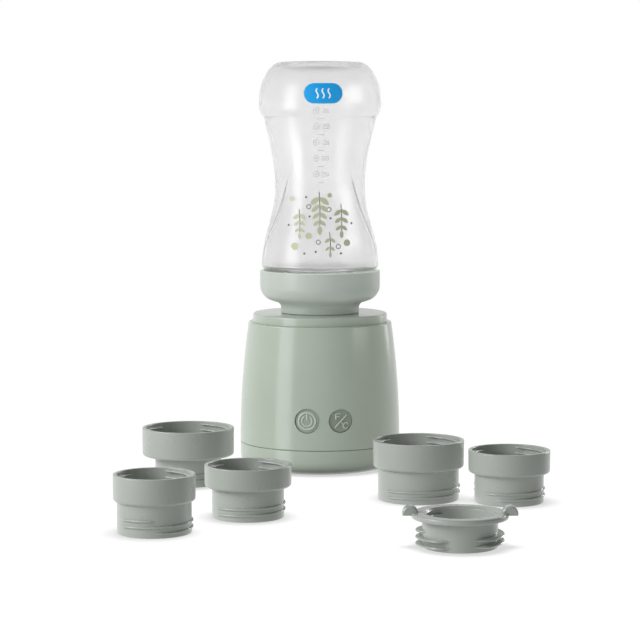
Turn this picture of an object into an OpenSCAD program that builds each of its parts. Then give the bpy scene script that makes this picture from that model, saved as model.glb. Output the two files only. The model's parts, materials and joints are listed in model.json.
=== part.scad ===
// Portable bottle warmer: a battery base with a screwed-in bottle collar, an upside-down
// feeding bottle and six loose neck adapters standing in front of it.
// Millimetres. Z is up, the origin is on the floor under the middle of the base,
// and the buttons face -Y.

/* [Base] */
// Radius of the base at its seam
body_r = 46.9; // [46:0.1:50]
// Height of the seam between the bottom cover and the shell
seam_z = 14.8; // [13:0.1:17]
// Height of the shell's top edge
shell_top = 85.3; // [82:0.1:92]
// How much smaller the shell's radius is at its top edge
shell_taper = 5; // [3:0.1:6]
// Wall of the shell, the bottom cover and the shell's top
wall = 2.4; // [2:0.1:2.8]
// Radius of the rounded lower corner
corner_r = 7.5; // [5:0.1:8.5]
// Width of the groove at the seam
seam_w = 0.3; // [0.2:0.05:0.6]
// Rounding of the shell's top edge and of the mouth ring
edge_r = 0.9; // [0.4:0.1:1.2]
// Height of the mouth ring above the shell
ring_h = 5.1; // [4:0.1:7]
// How far the mouth ring is set in from the shell's top edge
ring_inset = 2.6; // [1.5:0.1:3.5]
// Thickness of the rubber foot
foot_h = 1.6; // [1.3:0.1:2.5]
// How deep the foot is let into the cover
foot_sink = 1; // [0.6:0.1:1.1]
// Radius of the rubber foot
foot_r = 38; // [37:0.1:38.5]
// Thickness of the cover's floor
floor_t = 3.2; // [2.4:0.1:4]

/* [Buttons and display] */
// Height of the buttons' middle
button_z = 32; // [29:0.1:33]
// Sideways place of the power button
power_x = -7.4; // [-9:0.1:-6.8]
// Sideways place of the unit button
unit_x = 11.7; // [10:0.1:12]
// Radius of the power button
power_r = 7; // [6.4:0.1:7.4]
// Radius of the unit button
unit_r = 6.6; // [6.2:0.1:7]
// How far a button travels
press = 0.6; // [0.3:0.05:0.8]
// Running gap round a button
button_gap = 0.3; // [0.2:0.05:0.4]
// Width of the button's retaining lip
lip_w = 1.2; // [0.8:0.1:1.4]
// Thickness of the button's retaining lip
lip_t = 1; // [0.7:0.1:1.2]
// How deep the button's face lies under the shell's surface
face_sink = 0.9; // [0.6:0.1:1.1]
// How deep the raised marks lie under the shell's surface
mark_sink = 0.3; // [0.1:0.05:0.4]
// Height of the display's middle
display_z = 52; // [50:0.5:54]
// Width of the display
display_w = 22; // [18:0.5:24]
// Height of the display
display_h = 12; // [9:0.5:13]

/* [Heating] */
// Length of the spigot that screws into the mouth
spigot_l = 16; // [14:0.1:17]
// Radius of the spigot
spigot_r = 18.5; // [18:0.1:19]
// Radius of the way through the spigot, and of the heating cup
bore_r = 15.2; // [14:0.1:15.8]
// Sheet of the heating cup
cup_t = 0.8; // [0.5:0.1:1]
// Thickness of the gasket under the spigot
gasket_t = 2; // [1.5:0.1:2.5]
// Thickness of the clamp ring under the cup
clamp_t = 3; // [2.4:0.1:4]
// Thickness of the heater disc
heater_t = 1.5; // [1:0.1:2]
// Room under the heater disc for the probe and the fuse
sensor_room = 3.4; // [3:0.1:4]
// Thickness of the insulation under the cup
jacket_floor = 3.4; // [2.4:0.1:4]
// Outer radius of the insulation
jacket_r = 22; // [20:0.1:24]

/* [Battery and boards] */
// Diameter of a cell
cell_d = 21.2; // [18:0.1:21.4]
// Length of a cell
cell_l = 70.2; // [64:0.1:70.6]
// Room for leads between the cells and the inner frame
lead_room = 6.6; // [6:0.1:8]
// Thickness of the inner frame
frame_t = 3; // [2.4:0.1:4]
// Radius of the screw pillars
pillar_r = 3.4; // [3:0.1:3.6]
// Sideways place of the screw pillars
pillar_x = 20; // [18:0.1:21]
// Thickness of both circuit boards
board_t = 1.6; // [1:0.1:1.6]
// Width of the control board
board_w = 35; // [32:0.5:36]
// Height of the control board
board_h = 46; // [45:0.5:48]
// Room between the control board and the shell in front of it
board_room = 8.1; // [7.8:0.1:9]
// Width of the charging socket
usb_w = 9; // [8.6:0.1:9.4]
// Height of the charging socket
usb_h = 3.2; // [3:0.1:3.6]
// Height of the charging socket's middle
usb_z = 22; // [20:0.1:24]

/* [Threads] */
// Pitch of the fine thread on the spigots
fine_pitch = 3.2; // [3:0.1:3.6]
// Height of the fine thread's ridge
fine_h = 0.8; // [0.7:0.05:0.9]
// Pitch of the coarse thread on the bottle
coarse_pitch = 4; // [3.6:0.1:4.4]
// Height of the coarse thread's ridge
coarse_h = 1.9; // [1.6:0.1:2]
// Gap between a ridge and the wall it runs along
thread_gap = 0.4; // [0.3:0.05:0.5]
// Width of the break in a thread, in degrees
thread_break = 46; // [30:1:60]

/* [Collar] */
// Outer radius of the collar
collar_r = 35.1; // [33.5:0.1:36]
// Height of the collar above its seat
collar_h = 24.7; // [24:0.1:27]
// Wall of the collar
collar_wall = 2.2; // [1.6:0.1:2.6]
// Radius of the collar's neck
collar_neck_r = 22.9; // [22.4:0.1:23.5]
// Rounding of the collar's bowl
bowl_round = 9; // [8:0.1:9.5]
// Height of the shelf that carries the bottle
shelf_h = 5.8; // [5:0.1:6.2]
// Gap between the collar and the mouth ring
seat_gap = 0.3; // [0.2:0.05:0.5]

/* [Bottle] */
// Height of the bottle above its shoulder
bottle_h = 120.7; // [110:0.1:135]
// Wall of the bottle
bottle_wall = 2; // [1.4:0.1:2.4]
// Radius of the bottle at its shoulder
shoulder_r = 34.2; // [32:0.1:35]
// Radius of the bottle at its waist
waist_r = 26.25; // [24:0.05:28]
// Radius of the bottle's bulb
bulb_r = 35.75; // [34:0.05:37]
// Height of the waist above the shoulder
waist_h = 47.5; // [44:0.1:52]
// Height of the crease under the bulb above the shoulder
crease_h = 88.9; // [84:0.1:92]
// Radius of the bottle's neck
neck_r = 19.5; // [19:0.1:19.8]
// Wall of the bottle's neck
neck_wall = 2.3; // [1.6:0.1:2.6]
// Gap between the collar's rim and the bottle's shoulder
shoulder_gap = 0.6; // [0.4:0.1:2]
// Thickness of a sealing ring
seal_t = 1.5; // [1:0.1:2]

/* [Adapters] */
// Height of the first adapter's ring
adapter_1_h = 15.6; // [11:0.1:17]
// Outer diameter of the second adapter's ring
adapter_2_d = 44.8; // [43:0.1:47]
// Height of the second adapter's ring
adapter_2_h = 11.2; // [10.5:0.1:14]
// Outer diameter of the third adapter's ring
adapter_3_d = 41; // [40.6:0.1:45]
// Height of the third adapter's ring
adapter_3_h = 13.3; // [11:0.1:16]
// Outer diameter of the fourth adapter's ring
adapter_4_d = 49; // [46:0.1:50]
// Height of the fourth adapter's ring
adapter_4_h = 14.6; // [11:0.1:17]
// Length of the fourth adapter's spigot, which is wider than the others
wide_l = 17.6; // [15:0.1:19]
// Outer diameter of the fifth adapter's ring
adapter_5_d = 43.7; // [42:0.1:46]
// Height of the fifth adapter's ring
adapter_5_h = 12; // [11:0.1:15]
// Wall of an adapter's ring
adapter_wall = 2; // [1.6:0.1:2.2]
// Floor of an adapter's socket
socket_floor = 2; // [1.6:0.1:2.6]
// Radius of the reducing ring's tube
reducer_r = 18.2; // [17.8:0.1:18.6]
// Wall of the reducing ring's tube
reducer_wall = 2; // [1.4:0.1:2.4]
// Height of the reducing ring
reducer_h = 16.6; // [15:0.1:18]
// Radius of the reducing ring's flange
flange_r = 23.3; // [22:0.1:24]
// Thickness of the reducing ring's flange
flange_t = 2.7; // [2:0.1:3.2]
// Distance across the reducing ring's ears
ear_span = 55.4; // [53:0.1:58]

/* [Places of the loose adapters] */
// First adapter, sideways
adapter_1_x = -74; // [-90:1:-74]
// First adapter, front to back
adapter_1_y = -66; // [-90:1:-60]
// Second adapter, sideways
adapter_2_x = -37; // [-37:1:-30]
// Second adapter, front to back
adapter_2_y = -172; // [-190:1:-160]
// Third adapter, sideways
adapter_3_x = -82; // [-95:1:-82]
// Third adapter, front to back
adapter_3_y = -215; // [-230:1:-205]
// Fourth adapter, sideways
adapter_4_x = 53; // [40:1:55]
// Fourth adapter, front to back
adapter_4_y = -118; // [-150:1:-110]
// Gap between the fourth and the fifth adapter, sideways
adapter_gap = 1.7; // [1:0.1:10]
// Fifth adapter, front to back
adapter_5_y = -127; // [-150:1:-115]
// Reducing ring, sideways
reducer_x = 67; // [60:1:75]
// Reducing ring, front to back
reducer_y = -252; // [-265:1:-240]

/* [Hidden] */

$fn = 72;

// Colours
sage = [0.68, 0.72, 0.67];
grey_green = [0.61, 0.64, 0.60];
clear = [0.92, 0.94, 0.94, 0.35];
silicone = [0.86, 0.87, 0.85];
steel = [0.75, 0.76, 0.77];
white_plastic = [0.90, 0.90, 0.88];
black_plastic = [0.12, 0.12, 0.13];
board_green = [0.10, 0.36, 0.22];
copper_foil = [0.76, 0.45, 0.20];
cell_wrap = [0.20, 0.42, 0.62];
felt = [0.80, 0.79, 0.76];
rubber = [0.20, 0.21, 0.20];

// Shared clearances
fit = 0.1;
loose = 0.3;
slip = 0.05;
over = 1;

// Heights in the base, from the floor up
cover_bottom = foot_h - foot_sink;
floor_z = cover_bottom + floor_t;
shell_bottom = seam_z + seam_w / 2;
cover_top = seam_z - seam_w / 2;
holder_t = 1.4;
cell_z = floor_z + holder_t + cell_d / 2;
frame_z = cell_z + cell_d / 2 + lead_room;
frame_top = frame_z + frame_t;
jacket_in_z = frame_top + jacket_floor;
heater_z = jacket_in_z + sensor_room;
cup_bottom = heater_z + heater_t;

// Heights in the base, from the mouth down
ring_top = shell_top + ring_h;
seat_z = ring_top + seat_gap;
spigot_end = seat_z - spigot_l;
gasket_z = spigot_end - loose - gasket_t;
cup_top = gasket_z - fit;
clamp_top = cup_top - cup_t;
clamp_z = clamp_top - clamp_t;
seal_squeeze = 1.2;
mouth_end = cup_top + seal_squeeze;
shell_lid_z = shell_top - wall;

// The shell's outer wall is an arc that starts upright at the seam
shell_rise = shell_top - seam_z;
arc_r = (pow(shell_rise, 2) + pow(shell_taper, 2)) / (2 * shell_taper);
function wall_r(z) = body_r - arc_r + sqrt(pow(arc_r, 2) - pow(max(z - seam_z, 0), 2));
function wall_line(inset, z0, z1, steps) =
    [for (i = [0:steps]) let (z = z0 + (z1 - z0) * i / steps) [wall_r(z) - inset, z]];
function arc(cx, cz, r, from, to, steps) =
    [for (i = [0:steps])
        let (a = from + (to - from) * i / steps) [cx + r * cos(a), cz + r * sin(a)]];
function turned_back(points) = [for (i = [len(points) - 1:-1:0]) points[i]];

// Mouth, cup and clamp radii
spigot_wall = spigot_r - bore_r;
mouth_r = spigot_r + fine_h + thread_gap;
mouth_crest = spigot_r + loose;
mouth_wall = 2.5;
mouth_out = mouth_r + mouth_wall;
cup_out = bore_r + cup_t;
cup_round = 4;
ring_r = wall_r(shell_top) - ring_inset;
lid_seat_w = 5.3;
lid_hole_r = ring_r - lid_seat_w;
locating_r = lid_hole_r - loose;
clamp_rim_t = 2;
clamp_r = lid_hole_r + clamp_rim_t;
clamp_boss_r = 3;
clamp_screw_r = (mouth_out + locating_r) / 2;
lip_gap = 0.65;
cup_lip = clamp_screw_r - clamp_boss_r - lip_gap;
cup_play = 0.6;
seal_inset = 0.2;
seal_over = 0.3;
gasket_inset = 0.5;
clamp_in = cup_out + cup_play;
band_t = 0.6;
heater_over = 1;
sensor_y = 4;
jacket_in = cup_out + band_t + cup_play;

// Cells, pillars and boards
cell_gap = 0.2;
cell_y = (cell_d + cell_gap) / 2;
pillar_gap = 2.3;
pillar_y = cell_y + cell_d / 2 + pillar_gap + pillar_r;
pillar_ats = [for (sx = [-1, 1], sy = [-1, 1]) [sx * pillar_x, sy * pillar_y]];
pillar_out = sqrt(pow(pillar_x, 2) + pow(pillar_y, 2));
screw_r = 1.2;
screw_head_r = 2.1;
screw_head_t = 2;
screw_reach = 11;
screw_seat = frame_z - screw_reach;
boss_l = 10;
screw_bite = 8;
small_screw_r = 0.95;
small_head_r = 1.8;
small_head_t = 1.2;
small_screw_l = 7;
rib_t = 1.6;
frame_edge = 0.6;
frame_r = pillar_out + pillar_r + frame_edge;
board_front = -(body_r - wall - board_room);
board_back = board_front + board_t;
board_drop = 17;
board_z = frame_z - board_drop;
block_w = 7;
block_x = pillar_x - pillar_r - block_w / 2 - loose;
block_screw_z = 1;
block_z = frame_top + block_screw_z;
block_h = 8;
block_d = 6;
usb_l = 7.7;
usb_sink = 0.7;
usb_face = sqrt(pow(wall_r(usb_z), 2) - pow(usb_w / 2, 2)) - usb_sink;
usb_back = usb_face - usb_l;
charge_top = usb_z - usb_h / 2;
charge_w = 22;
charge_behind = 11.5;
usb_overlap = 1.6;
charge_y0 = usb_back - charge_behind;
charge_y1 = usb_back + usb_overlap;
charge_post_x = 8;
charge_post_in = 4.5;
charge_post_y = charge_y0 + charge_post_in;
charge_post_r = 2.6;

// Buttons and switches
stem_r = 2.2;
plunger_r = 1.6;
switch_w = 6;
switch_d = 2;
switch_bore = 1.4;
plunger_room = 1.6;
stem_end = board_front - switch_d - plunger_room;
plunger_end = board_front - switch_d + switch_bore - press - fit;
button_back = wall + button_gap + lip_t;
core_spare = 2;
degree_r = 0.75;
degree_line = 0.35;
letter_line = 0.6;
slash_lean = 35;
slash_l = 10.4;

// Leads: radius, places across and heights over the cells
lead_r = 0.8;
heater_lead_x = 6;
battery_lead_x = 10;
charge_lead_x = 3;
lead_over = 0.7;
lead_under = 1.4;
low_run_z = cell_z + cell_d / 2 + lead_r + lead_over;
high_run_z = frame_z - lead_r - lead_under;
lead_inset = 2;

// Threads
fine_foot_w = 1.4;
fine_crest_w = 0.8;
coarse_foot_w = 1.7;
coarse_crest_w = 0.8;
thread_step = 15;
ridge_root = 0.5;
fine_start = 4.3;
fine_turns = 2;
fine_gap_at = 187;
fine_begin = fine_gap_at + thread_break / 2 - 360;

// Collar and bottle heights
collar_top = seat_z + collar_h;
shelf_z = seat_z + shelf_h;
rim_z = shelf_z + seal_t + fit;
shoulder_z = collar_top + shoulder_gap;
bottle_top = shoulder_z + bottle_h;
neck_crest = neck_r + coarse_h;
sleeve_in = neck_crest + thread_gap;
sleeve_play = 0.5;
sleeve_crest = neck_r + sleeve_play;
sleeve_wall = 2.2;
sleeve_drop = 2.4;
sleeve_top = collar_top - sleeve_drop;
bowl_drop = 8.9;
bowl_z = collar_top - bowl_drop;
bowl_lean = 18;
neck_fillet = 3.6;
coarse_lead_in = 2.6;
coarse_start = rim_z + coarse_lead_in;
coarse_turns = 2;
neck_thread_at = -60;

// Bottle outline
waist_z = shoulder_z + waist_h;
crease_z = shoulder_z + crease_h;
shoulder_round = 2.7;
belly_z = shoulder_z + shoulder_round;
bulb_arc = 11;
crown_w = 13.5;
crease_depth = 2.8;
crease_r = bulb_r - crease_depth;
bulb_z = crease_z + sqrt(pow(bulb_arc, 2) - pow(bulb_arc - crease_depth, 2));
crown_h = bottle_top - bulb_z;
push_up_r = 19;
push_up = 1.5;
push_up_slope = 1;
function lower_waist(z) = waist_r
    + (shoulder_r - waist_r) * (1 - cos(180 * (waist_z - z) / (waist_z - belly_z))) / 2;
function upper_waist(z) = waist_r
    + (crease_r - waist_r) * (1 - cos(90 * (z - waist_z) / (crease_z - waist_z)));
function bottle_side(inset) = concat(
    [for (i = [0:12])
        let (z = belly_z + (waist_z - belly_z) * i / 12) [lower_waist(z) - inset, z]],
    [for (i = [1:9])
        let (z = waist_z + (crease_z - waist_z) * i / 10) [upper_waist(z) - inset, z]],
    [for (i = [0:4]) let (z = crease_z + (bulb_z - crease_z) * i / 5)
        [bulb_r - inset - bulb_arc + sqrt(pow(bulb_arc, 2) - pow(bulb_z - z, 2)), z]],
    [for (a = [0:10:90]) [
        bulb_r - crown_w + (crown_w - inset) * cos(a),
        bottle_top - crown_h + (crown_h - inset) * sin(a)
    ]]
);

// Lugs in the adapters' sockets
lug_h = 1.6;
lug_foot_w = 1.3;
lug_crest_w = 0.7;
lug_drop = 2.2;
lug_turn = 127;
lug_starts = [-50, -230, -410];

// The fourth adapter's wide spigot screws into the first adapter's socket
ring_round = 1.6;
ring_step = 2.8;
wide_r = adapter_4_d / 2 - ring_step;
adapter_1_d = 2 * (wide_r + thread_gap + lug_h + adapter_wall);
adapter_5_x = adapter_4_x + (adapter_4_d + adapter_5_d) / 2 + adapter_gap;

// Adapters: ring diameter, ring height, place, spigot radius and length, the angles at which
// the thread begins and breaks, and the thread's shift in height
adapters = [
    [
        adapter_1_d, adapter_1_h, [adapter_1_x, adapter_1_y],
        spigot_r, spigot_l, fine_begin, fine_gap_at, 0
    ],
    [
        adapter_2_d, adapter_2_h, [adapter_2_x, adapter_2_y],
        spigot_r, spigot_l, fine_begin, fine_gap_at, 0
    ],
    [adapter_3_d, adapter_3_h, [adapter_3_x, adapter_3_y], spigot_r, spigot_l, -85, 190, -1.3],
    [adapter_4_d, adapter_4_h, [adapter_4_x, adapter_4_y], wide_r, wide_l, -147, 190, 0],
    [adapter_5_d, adapter_5_h, [adapter_5_x, adapter_5_y], spigot_r, spigot_l, -116, 195, 0]
];

// Seals and the reducing ring
seal_lip = 0.6;
reducer_start = 0.4;
reducer_turns = 3;
reducer_break = 34;
ear_r = 3.8;
ear_t = 6;
ear_step = 1.8;
ear_lift = 0.5;
ear_root = 3.2;

// A right-hand thread ridge, swept from one angle to another with both ends running out.
// Its middle is at z + pitch * angle / 360.
module ridge(foot, crest, foot_w, crest_w, z, pitch, from, to) {
    steps = ceil((to - from) / thread_step);
    fade = 2;
    end_share = 0.45;
    inner_first = foot < crest;
    rings = [
        for (i = [0:steps])
            let (
                a = from + (to - from) * i / steps,
                mid = z + pitch * a / 360,
                share = end_share + (1 - end_share) * min(1, i / fade, (steps - i) / fade),
                top = foot + (crest - foot) * share,
                r0 = inner_first ? foot : top,
                r1 = inner_first ? top : foot,
                w0 = inner_first ? foot_w : crest_w,
                w1 = inner_first ? crest_w : foot_w
            )
            each [
                [r0 * cos(a), r0 * sin(a), mid - w0 / 2],
                [r1 * cos(a), r1 * sin(a), mid - w1 / 2],
                [r1 * cos(a), r1 * sin(a), mid + w1 / 2],
                [r0 * cos(a), r0 * sin(a), mid + w0 / 2]
            ]
    ];
    last = steps * 4;
    sides = [
        for (i = [0:steps - 1], k = [0:3])
            let (
                p = i * 4 + k,
                q = i * 4 + (k + 1) % 4
            )
            each [[p, q, q + 4], [p, q + 4, p + 4]]
    ];
    ends = [[3, 2, 1], [3, 1, 0], [last, last + 1, last + 2], [last, last + 2, last + 3]];
    polyhedron(rings, concat(sides, ends));
}

// The fine male thread of a spigot. It begins at one angle and is broken at another, on each
// turn, and z is its height at the angle 0.
module spigot_thread(z, r, begin, gap_at) {
    end = begin + 360 * fine_turns;
    for (turn = [0:fine_turns]) {
        from = max(begin, gap_at + thread_break / 2 + 360 * (turn - 1));
        to = min(end, gap_at - thread_break / 2 + 360 * turn);
        if (to - from > 2 * thread_step)
            ridge(
                r - ridge_root, r + fine_h, fine_foot_w, fine_crest_w,
                z, fine_pitch, from, to
            );
    }
}

// A plain spigot that stands on z, with its thread and its way through
module spigot(z, r, l, begin, gap_at, thread_shift) {
    difference() {
        translate([0, 0, z]) cylinder(r = r, h = l);
        translate([0, 0, z - over]) cylinder(r = r - spigot_wall, h = l + 2 * over);
    }
    spigot_thread(z + fine_start + thread_shift, r, begin, gap_at);
}

// A flat ring
module washer(z, r_in, r_out, t) {
    translate([0, 0, z]) difference() {
        cylinder(r = r_out, h = t);
        translate([0, 0, -over]) cylinder(r = r_in, h = t + 2 * over);
    }
}

// A box centred on x, from y0 to y1 and from z0 up
module block(x, w, y0, y1, z0, h) {
    translate([x - w / 2, y0, z0]) cube([w, y1 - y0, h]);
}

// A bar along Y from y0 to y1
module bar_y(x, z, r, y0, y1) {
    translate([x, y0, z]) rotate([-90, 0, 0]) cylinder(r = r, h = y1 - y0);
}

// A flat shape seen from the front, run from y0 back to y1
module front_shape(x, z, y0, y1) {
    translate([x, y1, z]) rotate([90, 0, 0]) linear_extrude(y1 - y0) children();
}

// A slot with round ends
module slot_shape(w, h) {
    square([w - h, h], center = true);
    for (s = [-1, 1]) translate([s * (w - h) / 2, 0]) circle(d = h);
}

// A lead along a route, with a round corner at each bend that faces out of the bend
module lead(route, r) {
    runs = [for (i = [0:len(route) - 2]) route[i + 1] - route[i]];
    for (i = [0:len(runs) - 1])
        translate(route[i])
            rotate([0, acos(runs[i][2] / norm(runs[i])), atan2(runs[i][1], runs[i][0])])
                cylinder(r = r, h = norm(runs[i]), $fn = 24);
    for (i = [1:len(runs) - 1]) {
        out = runs[i - 1] / norm(runs[i - 1]) - runs[i] / norm(runs[i]);
        translate(route[i]) rotate([0, 0, atan2(out[1], out[0])]) sphere(r = r + slip, $fn = 24);
    }
}

// The space inside the shell's surface near the buttons, at a depth under it
module wall_core(depth) {
    reach = power_r + lip_w + core_spare;
    low = button_z - reach;
    translate([0, 0, low])
        cylinder(r1 = wall_r(low) - depth, r2 = wall_r(low + 2 * reach) - depth, h = 2 * reach);
}

// A round pin at x, cut to the wall's curve at a depth under its surface
module wall_plug(depth, x, r) {
    intersection() {
        bar_y(x, button_z, r, -body_r - over, -body_r / 2);
        wall_core(depth);
    }
}

// A button: cap, retaining lip behind the wall, raised marks and stem
module button_body(x, r) {
    behind = sqrt(pow(wall_r(button_z) - button_back, 2) - x * x);
    difference() {
        union() {
            wall_plug(face_sink, x, r);
            wall_plug(wall + button_gap, x, r + lip_w);
            intersection() {
                front_shape(x, button_z, -body_r - over, -body_r / 2) children();
                wall_core(mark_sink);
            }
        }
        wall_core(button_back);
    }
    bar_y(x, button_z, stem_r, -behind - lip_t / 2, stem_end);
}

// A degree sign
module degree_sign() {
    difference() {
        circle(r = degree_r);
        circle(r = degree_r - degree_line);
    }
}

// Letter F, standing on the origin
module letter_f(h) {
    top_w = h * 0.62;
    arm_w = h * 0.5;
    arm_z = h * 0.42;
    square([letter_line, h]);
    translate([0, h - letter_line]) square([top_w, letter_line]);
    translate([0, arm_z]) square([arm_w, letter_line]);
}

// Letter C, round the origin
module letter_c(h) {
    difference() {
        circle(r = h / 2);
        circle(r = h / 2 - letter_line);
        translate([0, -h / 4]) square([h, h / 2]);
    }
}

// Outer shell of the base, with its lid edge, screw bosses and openings
module outer_shell() {
    top_in = wall_r(shell_top) - edge_r;
    boss_end = wall_r(frame_top + boss_l) - wall / 2;
    color(sage) difference() {
        union() {
            rotate_extrude() polygon(concat(
                wall_line(0, shell_bottom, shell_top - edge_r, 12),
                arc(top_in, shell_top - edge_r, edge_r, 20, 90, 4),
                [[lid_hole_r, shell_top], [lid_hole_r, shell_lid_z]],
                wall_line(wall, shell_lid_z, shell_bottom, 12)
            ));
            for (at = pillar_ats) {
                translate([at[0], at[1], frame_top]) cylinder(r = pillar_r, h = boss_l);
                rotate([0, 0, atan2(at[1], at[0])])
                    translate([pillar_out, -rib_t / 2, frame_top])
                        cube([boss_end - pillar_out, rib_t, boss_l]);
            }
        }
        bar_y(power_x, button_z, power_r + button_gap, -body_r - over, -body_r / 2);
        bar_y(unit_x, button_z, unit_r + button_gap, -body_r - over, -body_r / 2);
        front_shape(0, usb_z, body_r / 2, body_r + over)
            slot_shape(usb_w + 2 * loose, usb_h + 2 * loose);
        for (at = pillar_ats)
            translate([at[0], at[1], frame_top - over])
                cylinder(r = screw_r + slip, h = screw_bite + 2 * over);
    }
}

// Bottom cover with its tongue, screw pillars and the charging board's posts
module bottom_cover() {
    tongue_out = body_r - wall - loose;
    tongue_t = 1.2;
    tongue_h = 2.6;
    tongue_top = shell_bottom + tongue_h;
    root_drop = 4;
    root_slope = 1;
    ledge_w = 1;
    ledge_out = body_r - ledge_w;
    in_round = corner_r - wall;
    color(sage) difference() {
        union() {
            rotate_extrude() polygon(concat(
                [[0, cover_bottom]],
                arc(body_r - corner_r, cover_bottom + corner_r, corner_r, -90, 0, 8),
                [
                    [body_r, cover_top], [ledge_out, cover_top],
                    [ledge_out, shell_bottom], [tongue_out, shell_bottom],
                    [tongue_out, tongue_top], [tongue_out - tongue_t, tongue_top],
                    [tongue_out - tongue_t, cover_top - root_drop],
                    [body_r - wall, cover_top - root_drop - root_slope]
                ],
                arc(body_r - wall - in_round, floor_z + in_round, in_round, 0, -90, 6),
                [[0, floor_z]]
            ));
            for (at = pillar_ats)
                translate([at[0], at[1], floor_z - over])
                    cylinder(r = pillar_r, h = frame_z - floor_z + over);
            for (s = [-1, 1])
                translate([s * charge_post_x, charge_post_y, floor_z - over])
                    cylinder(r = charge_post_r, h = charge_top - board_t - floor_z + over);
        }
        translate([0, 0, cover_bottom - over]) cylinder(r = foot_r + fit, h = foot_sink + over);
        for (at = pillar_ats) {
            translate([at[0], at[1], 0]) cylinder(r = screw_head_r + fit, h = screw_seat);
            translate([at[0], at[1], 0]) cylinder(r = screw_r + fit, h = frame_z + over);
        }
        for (s = [-1, 1])
            translate([s * charge_post_x, charge_post_y, charge_top - small_screw_l - over])
                cylinder(r = small_screw_r + slip, h = small_screw_l + 2 * over);
    }
}

// Mouth ring on top of the base, with the threaded mouth and its screw bosses
module top_ring() {
    thread_z = spigot_end + fine_start + fine_pitch / 2;
    half_turns = floor(2 * (ring_top - fine_pitch / 2 - thread_z) / fine_pitch);
    draft = 0.2;
    chamfer = 0.8;
    color(sage) {
        difference() {
            union() {
                rotate_extrude() polygon(concat(
                    [
                        [mouth_r, mouth_end], [mouth_out, mouth_end],
                        [mouth_out, shell_lid_z], [locating_r, shell_lid_z],
                        [locating_r, shell_top], [ring_r + draft, shell_top]
                    ],
                    arc(ring_r - edge_r, ring_top - edge_r, edge_r, 0, 90, 4),
                    [[mouth_r + chamfer, ring_top], [mouth_r, ring_top - chamfer]]
                ));
                for (a = [45:90:315]) rotate([0, 0, a])
                    translate([clamp_screw_r, 0, clamp_top])
                        cylinder(r = clamp_boss_r, h = shell_lid_z - clamp_top + over);
            }
            for (a = [45:90:315]) rotate([0, 0, a])
                translate([clamp_screw_r, 0, clamp_top - over])
                    cylinder(r = screw_r + slip, h = screw_bite + 2 * over);
        }
        ridge(
            mouth_r + ridge_root, mouth_crest, fine_foot_w, fine_crest_w,
            thread_z, fine_pitch, 0, 180 * half_turns
        );
    }
}

// Rubber foot under the base
module foot_pad() {
    color(rubber) cylinder(r = foot_r, h = foot_h);
}

// Pressed steel cup that holds the milk while it is warmed
module heating_cup() {
    floor_top = cup_bottom + cup_t;
    color(steel) rotate_extrude() polygon(concat(
        [[0, cup_bottom]],
        arc(cup_out - cup_round, cup_bottom + cup_round, cup_round, -90, 0, 6),
        [[cup_out, clamp_top], [cup_lip, clamp_top], [cup_lip, cup_top], [bore_r, cup_top]],
        arc(cup_out - cup_round, cup_bottom + cup_round, cup_round - cup_t, 0, -90, 6),
        [[0, floor_top]]
    ));
}

// Seal between the cup's lip and the mouth
module cup_seal() {
    color(silicone) washer(cup_top, mouth_r + seal_inset, mouth_out + seal_over, seal_squeeze);
}

// Gasket that the spigot closes on
module mouth_gasket() {
    color(silicone) washer(gasket_z, bore_r - gasket_inset, mouth_r - gasket_inset, gasket_t);
}

// Ring that pulls the mouth ring and the cup's lip together against the shell's lid
module clamp_ring() {
    rim_in = clamp_r - clamp_rim_t + loose;
    color(white_plastic) difference() {
        rotate_extrude() polygon([
            [clamp_in, clamp_z], [clamp_r, clamp_z], [clamp_r, shell_lid_z],
            [rim_in, shell_lid_z], [rim_in, clamp_top], [clamp_in, clamp_top]
        ]);
        for (a = [45:90:315]) rotate([0, 0, a])
            translate([clamp_screw_r, 0, clamp_z - over])
                cylinder(r = screw_r + fit, h = clamp_t + 2 * over);
    }
}

// Screws from below through the clamp ring
module clamp_screws() {
    tip_gap = 1;
    color(steel) for (a = [45:90:315]) rotate([0, 0, a]) translate([clamp_screw_r, 0, 0])
        pan_screw(clamp_z, 1, screw_r, clamp_t + screw_bite - tip_gap, screw_head_r, screw_head_t);
}

// A cross-head screw with its head's seat at z, pointing up (1) or down (-1)
module pan_screw(z, way, r, l, head_r, head_t) {
    recess_l = head_r * 1.1;
    recess_w = head_r / 4;
    translate([0, 0, z]) mirror([0, 0, way < 0 ? 1 : 0]) difference() {
        union() {
            cylinder(r = r, h = l);
            translate([0, 0, -head_t]) cylinder(r = head_r, h = head_t);
        }
        for (a = [0, 90]) rotate([0, 0, a])
            translate([-recess_l / 2, -recess_w / 2, -head_t - over])
                cube([recess_l, recess_w, head_t / 2 + over]);
    }
}

// Ceramic heater under the cup
module heater_disc() {
    color(white_plastic) translate([0, 0, heater_z])
        cylinder(r = cup_out - cup_round + heater_over, h = heater_t);
}

// Foil heater round the cup
module heater_band() {
    foot_gap = 1.5;
    head_gap = 2;
    band_z = cup_bottom + cup_round + foot_gap;
    color(copper_foil)
        washer(band_z, cup_out + slip, cup_out + band_t, clamp_z - head_gap - band_z);
}

// Temperature probe under the heater
module temperature_probe() {
    probe_r = 1.4;
    probe_l = 9;
    color(steel) translate([-probe_l / 2, -sensor_y, heater_z - probe_r])
        rotate([0, 90, 0]) cylinder(r = probe_r, h = probe_l);
}

// Thermal fuse under the heater
module thermal_fuse() {
    fuse_r = 1.5;
    fuse_l = 10;
    color(white_plastic) translate([-fuse_l / 2, sensor_y, heater_z - fuse_r])
        rotate([0, 90, 0]) cylinder(r = fuse_r, h = fuse_l);
}

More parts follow.
